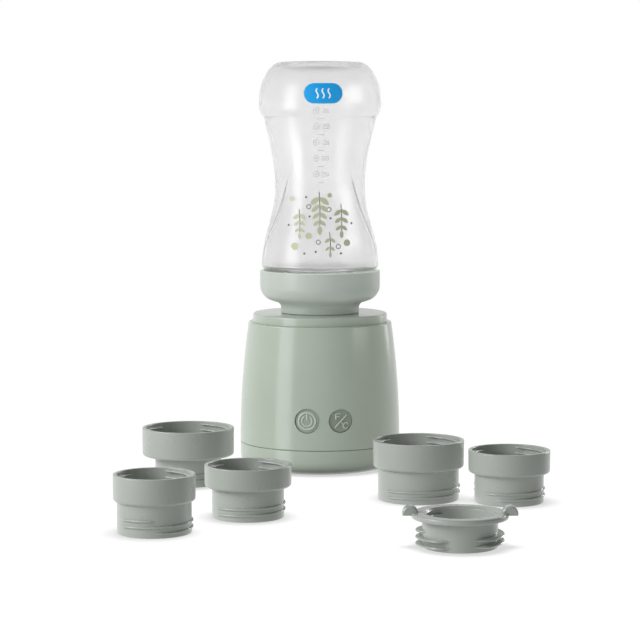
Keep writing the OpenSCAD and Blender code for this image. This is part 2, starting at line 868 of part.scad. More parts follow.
// Insulation round the cup
module insulation_jacket() {
    color(felt) difference() {
        translate([0, 0, frame_top]) cylinder(r = jacket_r, h = clamp_z - frame_top);
        translate([0, 0, jacket_in_z]) cylinder(r = jacket_in, h = clamp_z);
        for (s = [-1, 1])
            translate([s * heater_lead_x, 0, 0])
                cylinder(r = lead_r + loose, h = jacket_in_z + over);
    }
}

// Frame between the battery and the heater
module inner_frame() {
    color(white_plastic) difference() {
        union() {
            intersection() {
                translate([0, 0, frame_z]) cylinder(r = frame_r, h = frame_t);
                block(0, 2 * frame_r, board_back, frame_r, frame_z, frame_t);
            }
            for (s = [-1, 1])
                block(s * block_x, block_w, board_back, board_back + block_d, frame_z, block_h);
        }
        for (at = pillar_ats)
            translate([at[0], at[1], frame_z - over])
                cylinder(r = screw_r + fit, h = frame_t + 2 * over);
        for (s = [-1, 1]) {
            bar_y(s * block_x, block_z, small_screw_r + slip, board_back - over, board_back + block_d);
            translate([s * heater_lead_x, 0, 0]) cylinder(r = lead_r + loose, h = frame_top + over);
        }
    }
}

// A row of cylinders in the place of the cells, larger by a gap
module cell_shapes(gap) {
    for (s = [-1, 1])
        translate([-cell_l / 2 - gap, s * cell_y, cell_z])
            rotate([0, 90, 0]) cylinder(r = cell_d / 2 + gap, h = cell_l + 2 * gap);
}

// Two lithium cells
module battery_cells() {
    color(cell_wrap) cell_shapes(0);
}

// Cradle that holds the cells on the cover's floor
module cell_holder() {
    rib_inset = 8;
    rib_x = cell_l / 2 - rib_inset;
    rib_w = 4;
    rib_side = 2;
    rib_y = cell_y + cell_d / 2 + rib_side;
    rib_h = holder_t + cell_d * 0.4;
    ear_h = holder_t + cell_d * 0.7;
    color(black_plastic) difference() {
        union() {
            block(0, 2 * rib_x, -cell_y, cell_y, floor_z, holder_t);
            for (s = [-1, 1]) {
                block(s * rib_x, rib_w, -rib_y, rib_y, floor_z, rib_h);
                for (y0 = [-rib_y, cell_y])
                    block(s * rib_x, rib_w, y0, y0 + rib_y - cell_y, floor_z, ear_h);
            }
        }
        cell_shapes(fit);
    }
}

// Nickel straps on the cells' ends, with a tab for the leads
module cell_straps() {
    strap_t = 0.3;
    strap_w = 8;
    strap_end = 3;
    tab_over = 2.4;
    color(steel) for (s = [-1, 1]) {
        x = s * (cell_l / 2 + strap_t / 2);
        block(x, strap_t, -cell_y - strap_end, cell_y + strap_end, cell_z - strap_w / 2, strap_w);
        block(x, strap_t, -cell_y - strap_end, strap_end - cell_y, cell_z, cell_d / 2 + tab_over);
    }
}

// Control board behind the buttons
module control_board() {
    color(board_green) difference() {
        block(0, board_w, board_front, board_back, board_z, board_h);
        for (s = [-1, 1])
            bar_y(s * block_x, block_z, small_screw_r + fit, board_front - over, board_back + over);
    }
}

// Chips on the control board
module board_chips() {
    chip_t = 1.2;
    chip_w = 7;
    chip_lift = 1;
    driver_w = 5;
    driver_h = 6;
    driver_x = 11;
    board_edge = 2;
    color(black_plastic) {
        block(0, chip_w, board_front - chip_t, board_front, block_z + chip_lift, chip_w);
        for (s = [-1, 1])
            block(
                s * driver_x, driver_w, board_front - chip_t, board_front,
                board_z + board_edge, driver_h
            );
    }
}

// Display that shines through the shell
module display_module() {
    top = display_z + display_h / 2;
    corner = sqrt(pow(wall_r(top) - wall, 2) - pow(display_w / 2, 2));
    glass_gap = 0.5;
    color(black_plastic)
        block(0, display_w, glass_gap - corner, board_front, display_z - display_h / 2, display_h);
}

// Bodies of the two push switches
module switch_bodies() {
    color(black_plastic) for (x = [power_x, unit_x]) difference() {
        block(x, switch_w, board_front - switch_d, board_front, button_z - switch_w / 2, switch_w);
        bar_y(
            x, button_z, plunger_r + loose,
            board_front - switch_d - over, board_front - switch_d + switch_bore
        );
    }
}

// Power button with a raised ring and the power sign
module power_button() {
    ring_inset_w = 1.2;
    ring_out = power_r - ring_inset_w;
    ring_w = 0.75;
    sign_r = 3.7;
    line_w = 0.76;
    sign_gap = 2.6;
    bar_foot = 0.4;
    bar_h = 3.6;
    color(sage) button_body(power_x, power_r) {
        difference() {
            circle(r = ring_out);
            circle(r = ring_out - ring_w);
        }
        difference() {
            circle(r = sign_r);
            circle(r = sign_r - line_w);
            translate([-sign_gap / 2, 0]) square([sign_gap, sign_r + over]);
        }
        translate([-line_w / 2, bar_foot]) square([line_w, bar_h]);
    }
}

// Unit button with a raised rim and the two degree signs
module unit_button() {
    f_degree = [-3.8, 3.2];
    f_foot = [-2.8, 0.6];
    f_h = 3.6;
    slash_mid = [0.1, -0.1];
    c_degree = [0.9, -1.3];
    c_mid = [3, -2.5];
    c_h = 3.4;
    color(sage) button_body(unit_x, unit_r) {
        translate(f_degree) degree_sign();
        translate(f_foot) letter_f(f_h);
        translate(slash_mid) rotate(-slash_lean) square([letter_line, slash_l], center = true);
        translate(c_degree) degree_sign();
        translate(c_mid) letter_c(c_h);
        difference() {
            circle(r = unit_r);
            circle(r = unit_r - letter_line);
        }
    }
}

// Plunger between a button's stem and its switch
module plunger(x) {
    color(black_plastic) bar_y(x, button_z, plunger_r, stem_end, plunger_end);
}

module power_plunger() { plunger(power_x); }

module unit_plunger() { plunger(unit_x); }

// Charging board on its posts
module charge_board() {
    color(board_green) difference() {
        block(0, charge_w, charge_y0, charge_y1, charge_top - board_t, board_t);
        for (s = [-1, 1])
            translate([s * charge_post_x, charge_post_y, charge_top - board_t - over])
                cylinder(r = small_screw_r + fit, h = board_t + 2 * over);
    }
}

// Charging socket at the back
module usb_port() {
    shell_t = 0.35;
    well = 6.4;
    blade_inset = 2.3;
    blade_sink = 0.8;
    blade_t = 0.7;
    color(steel) {
        difference() {
            front_shape(0, usb_z, usb_back, usb_face) slot_shape(usb_w, usb_h);
            front_shape(0, usb_z, usb_face - well, usb_face + over)
                slot_shape(usb_w - 2 * shell_t, usb_h - 2 * shell_t);
        }
        block(
            0, usb_w - blade_inset, usb_face - well - over, usb_face - blade_sink,
            usb_z - blade_t / 2, blade_t
        );
    }
}

// Screws that hold the cover, the frame and the shell together
module case_screws() {
    color(steel) for (at = pillar_ats) translate([at[0], at[1], 0])
        pan_screw(
            screw_seat, 1, screw_r, frame_top + screw_bite - screw_seat, screw_head_r, screw_head_t
        );
}

// Small screws that hold the two boards
module board_screws() {
    color(steel) for (s = [-1, 1]) {
        translate([s * charge_post_x, charge_post_y, 0])
            pan_screw(charge_top, -1, small_screw_r, small_screw_l, small_head_r, small_head_t);
        translate([s * block_x, board_front, block_z]) rotate([-90, 0, 0])
            pan_screw(0, 1, small_screw_r, small_screw_l, small_head_r, small_head_t);
    }
}

// Leads from the heater to the control board
module heater_leads() {
    color(rubber) for (s = [-1, 1]) lead([
        [s * heater_lead_x, 0, heater_z],
        [s * heater_lead_x, 0, high_run_z],
        [s * heater_lead_x, board_back, high_run_z]
    ], lead_r);
}

// Leads from the cells to the control board
module battery_leads() {
    tab_x = cell_l / 2;
    color(rubber) for (s = [-1, 1]) lead([
        [s * tab_x, -cell_y, low_run_z],
        [s * battery_lead_x, -cell_y, low_run_z],
        [s * battery_lead_x, board_back, low_run_z]
    ], lead_r);
}

// Leads from the charging board to the control board
module charge_leads() {
    color(rubber) for (s = [-1, 1]) lead([
        [s * charge_lead_x, charge_y0 + lead_inset, charge_top],
        [s * charge_lead_x, charge_y0 + lead_inset, low_run_z],
        [s * charge_lead_x, board_back, low_run_z]
    ], lead_r);
}

// Collar in the mouth, with its bowl, the threaded sleeve for the bottle and its spigot
module collar() {
    bowl_in = bowl_round - collar_wall;
    bowl_x = collar_r - bowl_round;
    lean_end = -90 + bowl_lean;
    fillet_x = collar_neck_r + neck_fillet;
    slope_x = bowl_x + bowl_round * cos(lean_end);
    slope_z = bowl_z + bowl_round * sin(lean_end);
    slope_run = slope_x - fillet_x - neck_fillet * cos(90 + bowl_lean);
    fillet_top = slope_z - slope_run * tan(bowl_lean);
    fillet_z = fillet_top - neck_fillet * sin(90 + bowl_lean);
    sleeve_out = sleeve_in + sleeve_wall;
    tip = 0.5;
    color(grey_green) {
        rotate_extrude() polygon(concat(
            [
                [bore_r, seat_z - over], [spigot_r, seat_z - over],
                [spigot_r, seat_z], [collar_neck_r, seat_z]
            ],
            arc(fillet_x, fillet_z, neck_fillet, 180, 90 + bowl_lean, 5),
            arc(bowl_x, bowl_z, bowl_round, lean_end, 0, 8),
            arc(collar_r - tip, collar_top - tip, tip, 0, 90, 3),
            [[collar_r - collar_wall, collar_top]],
            arc(bowl_x, bowl_z, bowl_in, 0, -90, 7),
            [
                [sleeve_out, bowl_z - bowl_in], [sleeve_out, sleeve_top], [sleeve_in, sleeve_top],
                [sleeve_in, shelf_z], [bore_r, shelf_z]
            ]
        ));
        spigot(spigot_end, spigot_r, spigot_l, fine_begin, fine_gap_at, 0);
        ridge(
            sleeve_in + ridge_root, sleeve_crest, coarse_foot_w, coarse_crest_w,
            coarse_start + coarse_pitch / 2, coarse_pitch, 0, 360 * coarse_turns
        );
    }
}

// Seal under the bottle's rim
module bottle_seal() {
    color(silicone) washer(shelf_z + fit / 2, bore_r, sleeve_in - loose, seal_t);
}

// The upside-down bottle
module bottle() {
    in_r = neck_r - neck_wall;
    inner_shoulder = shoulder_z + bottle_wall;
    under = bottle_top - bottle_wall;
    color(clear) {
        rotate_extrude() polygon(concat(
            [[in_r, rim_z], [neck_r, rim_z], [neck_r, shoulder_z]],
            arc(shoulder_r - shoulder_round, belly_z, shoulder_round, -90, -15, 5),
            bottle_side(0),
            [
                [push_up_r + push_up_slope, bottle_top],
                [push_up_r - push_up_slope, bottle_top - push_up],
                [0, bottle_top - push_up], [0, under - push_up],
                [push_up_r, under - push_up]
            ],
            turned_back(bottle_side(bottle_wall)),
            [[shoulder_r - shoulder_round, inner_shoulder], [in_r, inner_shoulder]]
        ));
        for (turn = [0:coarse_turns - 1]) {
            from = neck_thread_at + 360 * turn;
            ridge(
                neck_r - ridge_root, neck_crest, coarse_foot_w, coarse_crest_w,
                coarse_start, coarse_pitch, from, from + 360 - thread_break
            );
        }
    }
}

// A loose adapter: spigot below, threaded socket above
module adapter(n) {
    ring_out = adapters[n][0] / 2;
    ring_l = adapters[n][1];
    r = adapters[n][3];
    l = adapters[n][4];
    bore = r - spigot_wall;
    socket_r = ring_out - adapter_wall;
    top = l + ring_l;
    tip = 0.4;
    color(grey_green) translate(adapters[n][2]) {
        spigot(0, r, l, adapters[n][5], adapters[n][6], adapters[n][7]);
        rotate_extrude() polygon(concat(
            [[bore, l - over], [r, l - over], [r, l]],
            arc(ring_out - ring_round, l + ring_round, ring_round, -90, 0, 5),
            arc(ring_out - tip, top - tip, tip, 0, 90, 3),
            [
                [socket_r + tip, top], [socket_r, top - tip],
                [socket_r, l + socket_floor], [bore, l + socket_floor]
            ]
        ));
        for (from = lug_starts)
            ridge(
                socket_r + ridge_root, socket_r - lug_h, lug_foot_w, lug_crest_w,
                top - lug_drop, fine_pitch, from, from + lug_turn
            );
    }
}

module adapter_1() { adapter(0); }

module adapter_2() { adapter(1); }

module adapter_3() { adapter(2); }

module adapter_4() { adapter(3); }

module adapter_5() { adapter(4); }

// Sealing ring on the floor of an adapter's socket
module socket_seal(n) {
    socket_r = adapters[n][0] / 2 - adapter_wall;
    color(silicone) translate(adapters[n][2]) washer(
        adapters[n][4] + socket_floor, adapters[n][3] - spigot_wall, socket_r - seal_lip, seal_t
    );
}

module socket_seal_1() { socket_seal(0); }

module socket_seal_2() { socket_seal(1); }

module socket_seal_3() { socket_seal(2); }

module socket_seal_4() { socket_seal(3); }

module socket_seal_5() { socket_seal(4); }

// Eared ring that takes the bottle's place in the collar and narrows it
module reducing_ring() {
    bore = reducer_r - reducer_wall;
    flange_z = reducer_h - flange_t;
    root_x = flange_r - ear_root;
    out_x = ear_span / 2;
    tip = 0.6;
    first = 360 * (coarse_foot_w / 2 + loose - reducer_start) / coarse_pitch;
    color(grey_green) translate([reducer_x, reducer_y, 0]) {
        rotate_extrude() polygon(concat(
            [[bore, 0], [reducer_r, 0], [reducer_r, flange_z]],
            arc(flange_r - tip, flange_z + tip, tip, -90, 0, 3),
            arc(flange_r - tip, reducer_h - tip, tip, 0, 90, 3),
            [[bore + tip, reducer_h], [bore, reducer_h - tip]]
        ));
        for (s = [-1, 1]) translate([0, 0, flange_z + ear_lift]) {
            block(s * (root_x + out_x) / 2, out_x - root_x, -ear_t / 2, ear_t / 2, 0, ear_step);
            translate([s * (out_x - ear_r), 0, 0]) intersection() {
                bar_y(0, ear_step, ear_r, -ear_t / 2, ear_t / 2);
                block(0, 2 * ear_r, -ear_t / 2, ear_t / 2, ear_step - fit, ear_r + over);
            }
        }
        for (turn = [0:reducer_turns - 1]) {
            break_end = -90 + reducer_break / 2 + 360 * turn;
            from = max(break_end, first);
            ridge(
                reducer_r - ridge_root, neck_crest, coarse_foot_w, coarse_crest_w,
                reducer_start, coarse_pitch, from, break_end + 360 - reducer_break
            );
        }
    }
}

outer_shell();
bottom_cover();
top_ring();
foot_pad();
heating_cup();
cup_seal();
mouth_gasket();
clamp_ring();
clamp_screws();
heater_disc();
heater_band();
temperature_probe();
thermal_fuse();
insulation_jacket();
inner_frame();
battery_cells();
cell_holder();
cell_straps();
control_board();
board_chips();
display_module();
switch_bodies();
power_button();
power_plunger();
unit_button();
unit_plunger();
charge_board();
usb_port();
case_screws();
board_screws();
heater_leads();
battery_leads();
charge_leads();
collar();
bottle_seal();
bottle();
adapter_1();
adapter_2();
adapter_3();
adapter_4();
adapter_5();
socket_seal_1();
socket_seal_2();
socket_seal_3();
socket_seal_4();
socket_seal_5();
reducing_ring();
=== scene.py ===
"""Looks of a portable bottle warmer: the base with its buttons, the collar, the upside-down bottle
and the loose adapters. Shapes are worked out in millimetres, in the model's own frame."""
import json
import math

import bmesh
import bpy
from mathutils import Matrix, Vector


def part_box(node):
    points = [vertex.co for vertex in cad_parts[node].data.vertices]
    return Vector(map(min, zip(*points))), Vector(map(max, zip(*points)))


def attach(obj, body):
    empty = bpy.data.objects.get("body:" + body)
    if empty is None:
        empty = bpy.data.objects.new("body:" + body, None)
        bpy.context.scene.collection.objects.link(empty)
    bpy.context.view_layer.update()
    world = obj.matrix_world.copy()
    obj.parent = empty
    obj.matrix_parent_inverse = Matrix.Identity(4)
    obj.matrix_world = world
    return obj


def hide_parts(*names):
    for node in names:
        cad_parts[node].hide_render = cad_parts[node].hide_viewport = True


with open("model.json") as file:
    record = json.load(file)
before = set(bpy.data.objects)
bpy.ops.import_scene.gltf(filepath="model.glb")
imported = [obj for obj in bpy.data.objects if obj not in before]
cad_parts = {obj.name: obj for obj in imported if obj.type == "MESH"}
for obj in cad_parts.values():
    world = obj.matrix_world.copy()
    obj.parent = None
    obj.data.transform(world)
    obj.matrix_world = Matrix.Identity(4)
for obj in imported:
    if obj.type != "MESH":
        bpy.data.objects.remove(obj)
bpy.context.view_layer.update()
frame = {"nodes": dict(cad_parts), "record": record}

MM = 0.001
TURN_STEPS = 192
ROUND_STEPS = 96
SHARP_ANGLE = math.radians(32)
ON_AXIS = 1e-6
WELD = 1e-5


# Sizes that come from the frame

def span(node):
    """A node's lowest and highest corners, in millimetres."""
    low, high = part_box(node)
    return low / MM, high / MM


COVER_Z = span("bottom_cover")[0].z
BODY_R = span("bottom_cover")[1].x
SHELL_Z = span("outer_shell")[0].z
SHELL_TOP = span("outer_shell")[1].z
RING_TOP = span("top_ring")[1].z
FOOT_R = span("foot_pad")[1].x
FOOT_TOP = span("foot_pad")[1].z
COLLAR_R = span("collar")[1].x
COLLAR_LOW = span("collar")[0].z
COLLAR_TOP = span("collar")[1].z
BULB_R = span("bottle")[1].x
RIM_Z = span("bottle")[0].z
BOTTLE_TOP = span("bottle")[1].z

# Sizes of the base
WALL = 2.4
TAPER = 5.0
SEAM_W = 0.3
SEAM_EDGE = 0.28
SEAM_Z = SHELL_Z - SEAM_W / 2
CORNER = 7.5
TOP_EDGE = 1.0
RING_INSET = 2.6
RING_SEAT = 5.3
RING_R = BODY_R - TAPER - RING_INSET
LID_HOLE_R = RING_R - RING_SEAT
LID_Z = SHELL_TOP - WALL
CUP_SEAL = 1.2
MOUTH_END = span("heating_cup")[1].z + CUP_SEAL
RISE = SHELL_TOP - SEAM_Z
ARC_R = (RISE ** 2 + TAPER ** 2) / (2 * TAPER)

# Sizes of the spigots and the threads, with angles in degrees
SPIGOT_R = 18.5
SPIGOT_L = 16.0
BORE_R = 15.2
SPIGOT_WALL = SPIGOT_R - BORE_R
THREAD_PLAY = 0.4
FINE_PITCH = 3.2
FINE_H = 0.8
FINE_W = 1.0
FINE_START = 4.3
FINE_FROM = -150
FINE_BREAK_AT = 187
FINE_BREAK = 46
SHORTEST_FLIGHT = 30
MOUTH_R = SPIGOT_R + FINE_H + THREAD_PLAY
COARSE_PITCH = 4.0
COARSE_CREST = 21.4
COARSE_W = 1.7
COARSE_START = 2.6

# Sizes of the collar and the bottle
SEAT_Z = COLLAR_LOW + SPIGOT_L
NECK_R = 19.5
SLEEVE_IN = COARSE_CREST + THREAD_PLAY
SLEEVE_DROP = 2.4
SLEEVE_TOP = COLLAR_TOP - SLEEVE_DROP
SHELF_H = 5.8
SHELF_Z = SEAT_Z + SHELF_H
SHOULDER_GAP = 0.6
SHOULDER_Z = COLLAR_TOP + SHOULDER_GAP
SHOULDER_ROUND = 2.7
SHOULDER_R = 34.2
BELLY_Z = SHOULDER_Z + SHOULDER_ROUND
WAIST_H = 47.5
WAIST_Z = SHOULDER_Z + WAIST_H
WAIST_R = 26.25
CREASE_H = 88.9
CREASE_D = 2.8
CREASE_Z = SHOULDER_Z + CREASE_H
CREASE_R = BULB_R - CREASE_D
BULB_ARC = 11.0
BULB_Z = CREASE_Z + math.sqrt(BULB_ARC ** 2 - (BULB_ARC - CREASE_D) ** 2)
CROWN_W = 13.5
CROWN_H = BOTTLE_TOP - BULB_Z
BOTTLE_WALL = 2.0


# Outlines and curves

def spaced(start, end, steps):
    """Evenly spaced values from start to end."""
    return [start + (end - start) * i / steps for i in range(steps + 1)]


def arc(cx, cz, r, start, end, steps):
    """Points along an arc, with angles in degrees."""
    angles = [math.radians(a) for a in spaced(start, end, steps)]
    return [(cx + r * math.cos(a), cz + r * math.sin(a)) for a in angles]


def ring_points(cx, cz, r, start=0, end=360, steps=ROUND_STEPS):
    """Points along a circle or a part of one; a full circle doesn't repeat its first point."""
    points = arc(cx, cz, r, start, end, steps)
    return points[:-1] if end - start == 360 else points


def rounded(corners, steps=5):
    """A closed outline with its corners rounded. A corner is (r, z) or (r, z, radius)."""
    outline = []
    count = len(corners)
    for i, corner in enumerate(corners):
        here = Vector(corner[:2])
        radius = corner[2] if len(corner) > 2 else 0
        if not radius:
            outline.append(tuple(here))
            continue
        back = (Vector(corners[i - 1][:2]) - here).normalized()
        ahead = (Vector(corners[(i + 1) % count][:2]) - here).normalized()
        half = back.angle(ahead) / 2
        centre = here + (back + ahead).normalized() * radius / math.sin(half)
        first = here + back * radius / math.tan(half) - centre
        last = here + ahead * radius / math.tan(half) - centre
        start = math.atan2(first.y, first.x)
        sweep = (math.atan2(last.y, last.x) - start + math.pi) % (2 * math.pi) - math.pi
        for a in spaced(start, start + sweep, steps):
            outline.append((centre.x + radius * math.cos(a), centre.y + radius * math.sin(a)))
    return outline


def smooth(x):
    """Smooth step from 0 at 0 to 1 at 1."""
    x = min(1.0, max(0.0, x))
    return x * x * (3 - 2 * x)


def wall_r(z):
    """Radius of the shell's outer wall at a height."""
    return BODY_R - ARC_R + math.sqrt(ARC_R ** 2 - max(z - SEAM_Z, 0) ** 2)


def on_wall(x, z, depth):
    """The point of the front wall at x and z, at a depth under its surface."""
    return Vector((x, -math.sqrt((wall_r(z) - depth) ** 2 - x * x), z))


# Meshes

def loft(bm, loops, closed=False, caps=False):
    """Faces between loops with the same number of points. It gives the loops' vertices."""
    rings = [[bm.verts.new(p) for p in loop] for loop in loops]
    pairs = list(zip(rings, rings[1:]))
    if closed:
        pairs.append((rings[-1], rings[0]))
    for a, b in pairs:
        for i in range(len(a)):
            j = (i + 1) % len(a)
            bm.faces.new((a[i], a[j], b[j], b[i]))
    if caps:
        bm.faces.new(rings[0])
        bm.faces.new(rings[-1])
    return rings


def fan(bm, middle, ring):
    """Faces between a middle point and a ring of vertices."""
    hub = bm.verts.new(middle)
    for a, b in zip(ring, ring[1:] + ring[:1]):
        bm.faces.new((hub, a, b))


def lathe(name, outline, place=(0, 0), radius_at=None):
    """A closed outline of (radius, height) turned about an upright axis. radius_at(r, z, angle)
    changes the radius round the axis."""
    bm = bmesh.new()
    angles = [2 * math.pi * i / TURN_STEPS for i in range(TURN_STEPS)]
    rings = []
    for r, z in outline:
        if r < ON_AXIS:
            rings.append([bm.verts.new((place[0], place[1], z))])
            continue
        ring = []
        for a in angles:
            reach = radius_at(r, z, a) if radius_at else r
            ring.append(bm.verts.new((place[0] + reach * math.cos(a), place[1] + reach * math.sin(a), z)))
        rings.append(ring)
    for a, b in zip(rings, rings[1:] + rings[:1]):
        if len(a) == 1 and len(b) == 1:
            continue
        for i in range(TURN_STEPS):
            j = (i + 1) % TURN_STEPS
            corners = [a[i % len(a)], a[j % len(a)], b[j % len(b)], b[i % len(b)]]
            bm.faces.new(list(dict.fromkeys(corners)))
    return mesh_object(name, bm)


def ridge(foot, crest, width, z, pitch, start, end, place=(0, 0), run_out=34, round_off=0.6):
    """A right-hand thread ridge with a round crest, which runs out at both ends. Its middle is at
    z + pitch * angle / 360, with angles in degrees. A larger round_off makes its crest narrower."""
    degrees_a_step = 3
    sides = 8
    end_width = 0.35
    sunk = foot + (-0.5 if crest > foot else 0.5)
    loops = []
    for a in spaced(start, end, math.ceil((end - start) / degrees_a_step)):
        share = smooth(min(a - start, end - a) / run_out)
        mid = z + pitch * a / 360
        half = width / 2 * (end_width + (1 - end_width) * share)
        turn = math.radians(a)
        loop = []
        for t in spaced(0, math.pi, sides):
            reach = (crest - foot) * share * math.sin(t) ** round_off
            loop.append((foot + reach, mid - half * math.cos(t)))
        loop += [(sunk, mid + half), (sunk, mid - half)]
        loops.append([
            (place[0] + r * math.cos(turn), place[1] + r * math.sin(turn), height) for r, height in loop
        ])
    bm = bmesh.new()
    loft(bm, loops, caps=True)
    return mesh_object("thread", bm)


# Shares of a raised line's width and height: at its tips, at its edge and on its round back
TIP_WIDTH = 0.32
TIP_HEIGHT = 0.3
EDGE_HEIGHT = 0.45
BACK_WIDTH = 0.55
BACK_HEIGHT = 0.9


def stroke(bm, points, width, to_surface, low, high, closed=False):
    """A raised line with a round back along flat points (x, z). to_surface(x, z, lift) gives the
    place on the surface, and low and high are the lifts of the line's foot and its back."""
    line = [Vector(p) for p in points]
    if not closed:
        line = [
            line[0] + (line[1] - line[0]).normalized() * -width / 2,
            *line,
            line[-1] + (line[-1] - line[-2]).normalized() * width / 2,
        ]
    count = len(line)
    loops = []
    for i, p in enumerate(line):
        before = line[i - 1] if closed or i else line[0]
        after = line[(i + 1) % count] if closed or i < count - 1 else line[-1]
        along = (after - before).normalized()
        across = Vector((-along.y, along.x))
        tip = not closed and i in (0, count - 1)
        half = width / 2 * (TIP_WIDTH if tip else 1)
        rise = (high - low) * (TIP_HEIGHT if tip else 1)
        section = [(-half, low), (-half, low + rise * EDGE_HEIGHT)]
        section.append((-half * BACK_WIDTH, low + rise * BACK_HEIGHT))
        section += [(0, low + rise)] + [(-u, h) for u, h in reversed(section)]
        loops.append([to_surface(*(p + across * u), h) for u, h in section])
    loft(bm, loops, closed=closed, caps=not closed)


def mesh_object(name, bm):
    """A bmesh in millimetres as an object in metres, with its normals facing out."""
    bmesh.ops.remove_doubles(bm, verts=bm.verts, dist=WELD)
    bmesh.ops.recalc_face_normals(bm, faces=bm.faces)
    bmesh.ops.scale(bm, vec=(MM, MM, MM), verts=bm.verts)
    mesh = bpy.data.meshes.new(name)
    bm.to_mesh(mesh)
    bm.free()
    obj = bpy.data.objects.new(name, mesh)
    bpy.context.scene.collection.objects.link(obj)
    return obj


def combine(obj, tools, operation):
    """obj joined with or cut by each tool, as one closed mesh."""
    for tool in tools:
        change = obj.modifiers.new("combine", "BOOLEAN")
        change.operation = operation
        change.solver = "MANIFOLD"
        change.object = tool
    bpy.context.view_layer.update()
    shown = obj.evaluated_get(bpy.context.evaluated_depsgraph_get())
    made = bpy.data.meshes.new_from_object(shown)
    obj.modifiers.clear()
    obj.data = made
    for tool in tools:
        bpy.data.objects.remove(tool)


def dress(obj, body, look, slot=None, *nodes):
    """Shading, finish and place of a piece: the body that it rides on and the nodes it stands for."""
    obj.data.shade_smooth()
    obj.data.set_sharp_from_angle(angle=SHARP_ANGLE)
    obj.data.materials.clear()
    obj.data.materials.append(LOOKS[look])
    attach(obj, body)
    if nodes:
        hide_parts(*nodes)
    return obj


# Node helpers

def joined(tree, operation, first, second):
    """A math node on two values."""
    node = tree.nodes.new("ShaderNodeMath")
    node.operation = operation
    for socket, value in zip(node.inputs, (first, second)):
        if isinstance(value, float):
            socket.default_value = value
        else:
            tree.links.new(value, socket)
    return node.outputs[0]


def spread(tree, value, start, end, first, last, easing="SMOOTHSTEP"):
    """A value that goes from first at start to last at end."""
    node = tree.nodes.new("ShaderNodeMapRange")
    node.interpolation_type = easing
    for socket, number in zip(("From Min", "From Max", "To Min", "To Max"), (start, end, first, last)):
        node.inputs[socket].default_value = number
    tree.links.new(value, node.inputs["Value"])
    return node.outputs["Result"]


def mixed(tree, kind, share, first, second):
    """Two shaders mixed by a share, on an output node of a kind."""
    mix = tree.nodes.new("ShaderNodeMixShader")
    out = tree.nodes.new(kind)
    tree.links.new(share, mix.inputs["Fac"])
    tree.links.new(first.outputs[0], mix.inputs[1])
    tree.links.new(second.outputs[0], mix.inputs[2])
    tree.links.new(mix.outputs[0], out.inputs["Surface"])


# Materials

NOISE_LOW = 0.3
NOISE_HIGH = 0.7
LOOKS = {}


def srgb(r, g, b):
    """A colour given in 0 to 255, as linear values."""
    def linear(c):
        c /= 255
        return c / 12.92 if c <= 0.04045 else ((c + 0.055) / 1.055) ** 2.4
    return (linear(r), linear(g), linear(b), 1.0)


def shade(colour, factor):
    """A colour made lighter or darker."""
    return (*[min(1.0, c * factor) for c in colour[:3]], 1.0)


class Look:
    """A node material round one Principled shader, kept in LOOKS under its name."""

    def __init__(self, name, roughness):
        material = bpy.data.materials.new(name)
        material.use_nodes = True
        LOOKS[name] = material
        self.tree = material.node_tree
        self.nodes = self.tree.nodes
        self.links = self.tree.links
        self.shader = self.nodes["Principled BSDF"]
        self.shader.inputs["Roughness"].default_value = roughness
        self.place = self.nodes.new("ShaderNodeTexCoord").outputs["Object"]

    def put(self, socket, value):
        """A constant on one of the shader's own sockets."""
        self.shader.inputs[socket].default_value = value

    def noise(self, scale, detail=3.0, stretch=(1, 1, 1)):
        """A noise pattern, in features per metre."""
        mapping = self.nodes.new("ShaderNodeMapping")
        mapping.inputs["Scale"].default_value = stretch
        self.links.new(self.place, mapping.inputs["Vector"])
        pattern = self.nodes.new("ShaderNodeTexNoise")
        pattern.inputs["Scale"].default_value = scale
        pattern.inputs["Detail"].default_value = detail
        self.links.new(mapping.outputs["Vector"], pattern.inputs["Vector"])
        return pattern.outputs["Fac"]

    def ranged(self, value, low, high, socket):
        """A noise pattern spread over a range, on one of the shader's sockets."""
        result = spread(self.tree, value, NOISE_LOW, NOISE_HIGH, low, high, "LINEAR")
        self.links.new(result, self.shader.inputs[socket])

    def tint(self, value, dark, light):
        """Colours between dark and light that follow a noise pattern."""
        ramp = self.nodes.new("ShaderNodeValToRGB")
        stops = zip(ramp.color_ramp.elements, (NOISE_LOW, NOISE_HIGH), (dark, light))
        for element, position, colour in stops:
            element.position = position
            element.color = colour
        self.links.new(value, ramp.inputs["Fac"])
        self.links.new(ramp.outputs["Color"], self.shader.inputs["Base Color"])

    def bump(self, value, strength, depth_mm):
        """Relief that follows a pattern."""
        relief = self.nodes.new("ShaderNodeBump")
        relief.inputs["Strength"].default_value = strength
        relief.inputs["Distance"].default_value = depth_mm * MM
        self.links.new(value, relief.inputs["Height"])
        self.links.new(relief.outputs["Normal"], self.shader.inputs["Normal"])


def moulded(name, colour, roughness, grain=2600, depth_mm=0.01):
    """Moulded plastic with a fine grain and faint mottling."""
    mottle = 0.015
    look = Look(name, roughness)
    look.tint(look.noise(55), shade(colour, 1 - mottle), shade(colour, 1 + mottle))
    look.ranged(look.noise(90), roughness - 0.012, roughness + 0.015, "Roughness")
    look.bump(look.noise(grain, 2.0), 0.2, depth_mm)


def clear_plastic():
    """Clear bottle plastic."""
    look = Look("clear_plastic", 0.18)
    look.put("Transmission Weight", 0.88)
    look.put("IOR", 1.42)
    look.tint(look.noise(30), srgb(240, 240, 240), srgb(244, 244, 244))
    look.ranged(look.noise(24), 0.17, 0.2, "Roughness")


def soft_silicone():
    """Translucent silicone."""
    look = Look("silicone", 0.55)
    look.put("Subsurface Weight", 0.25)
    look.put("Subsurface Radius", (0.002, 0.002, 0.002))
    look.tint(look.noise(120), srgb(214, 216, 212), srgb(226, 228, 224))
    look.bump(look.noise(1500), 0.2, 0.03)


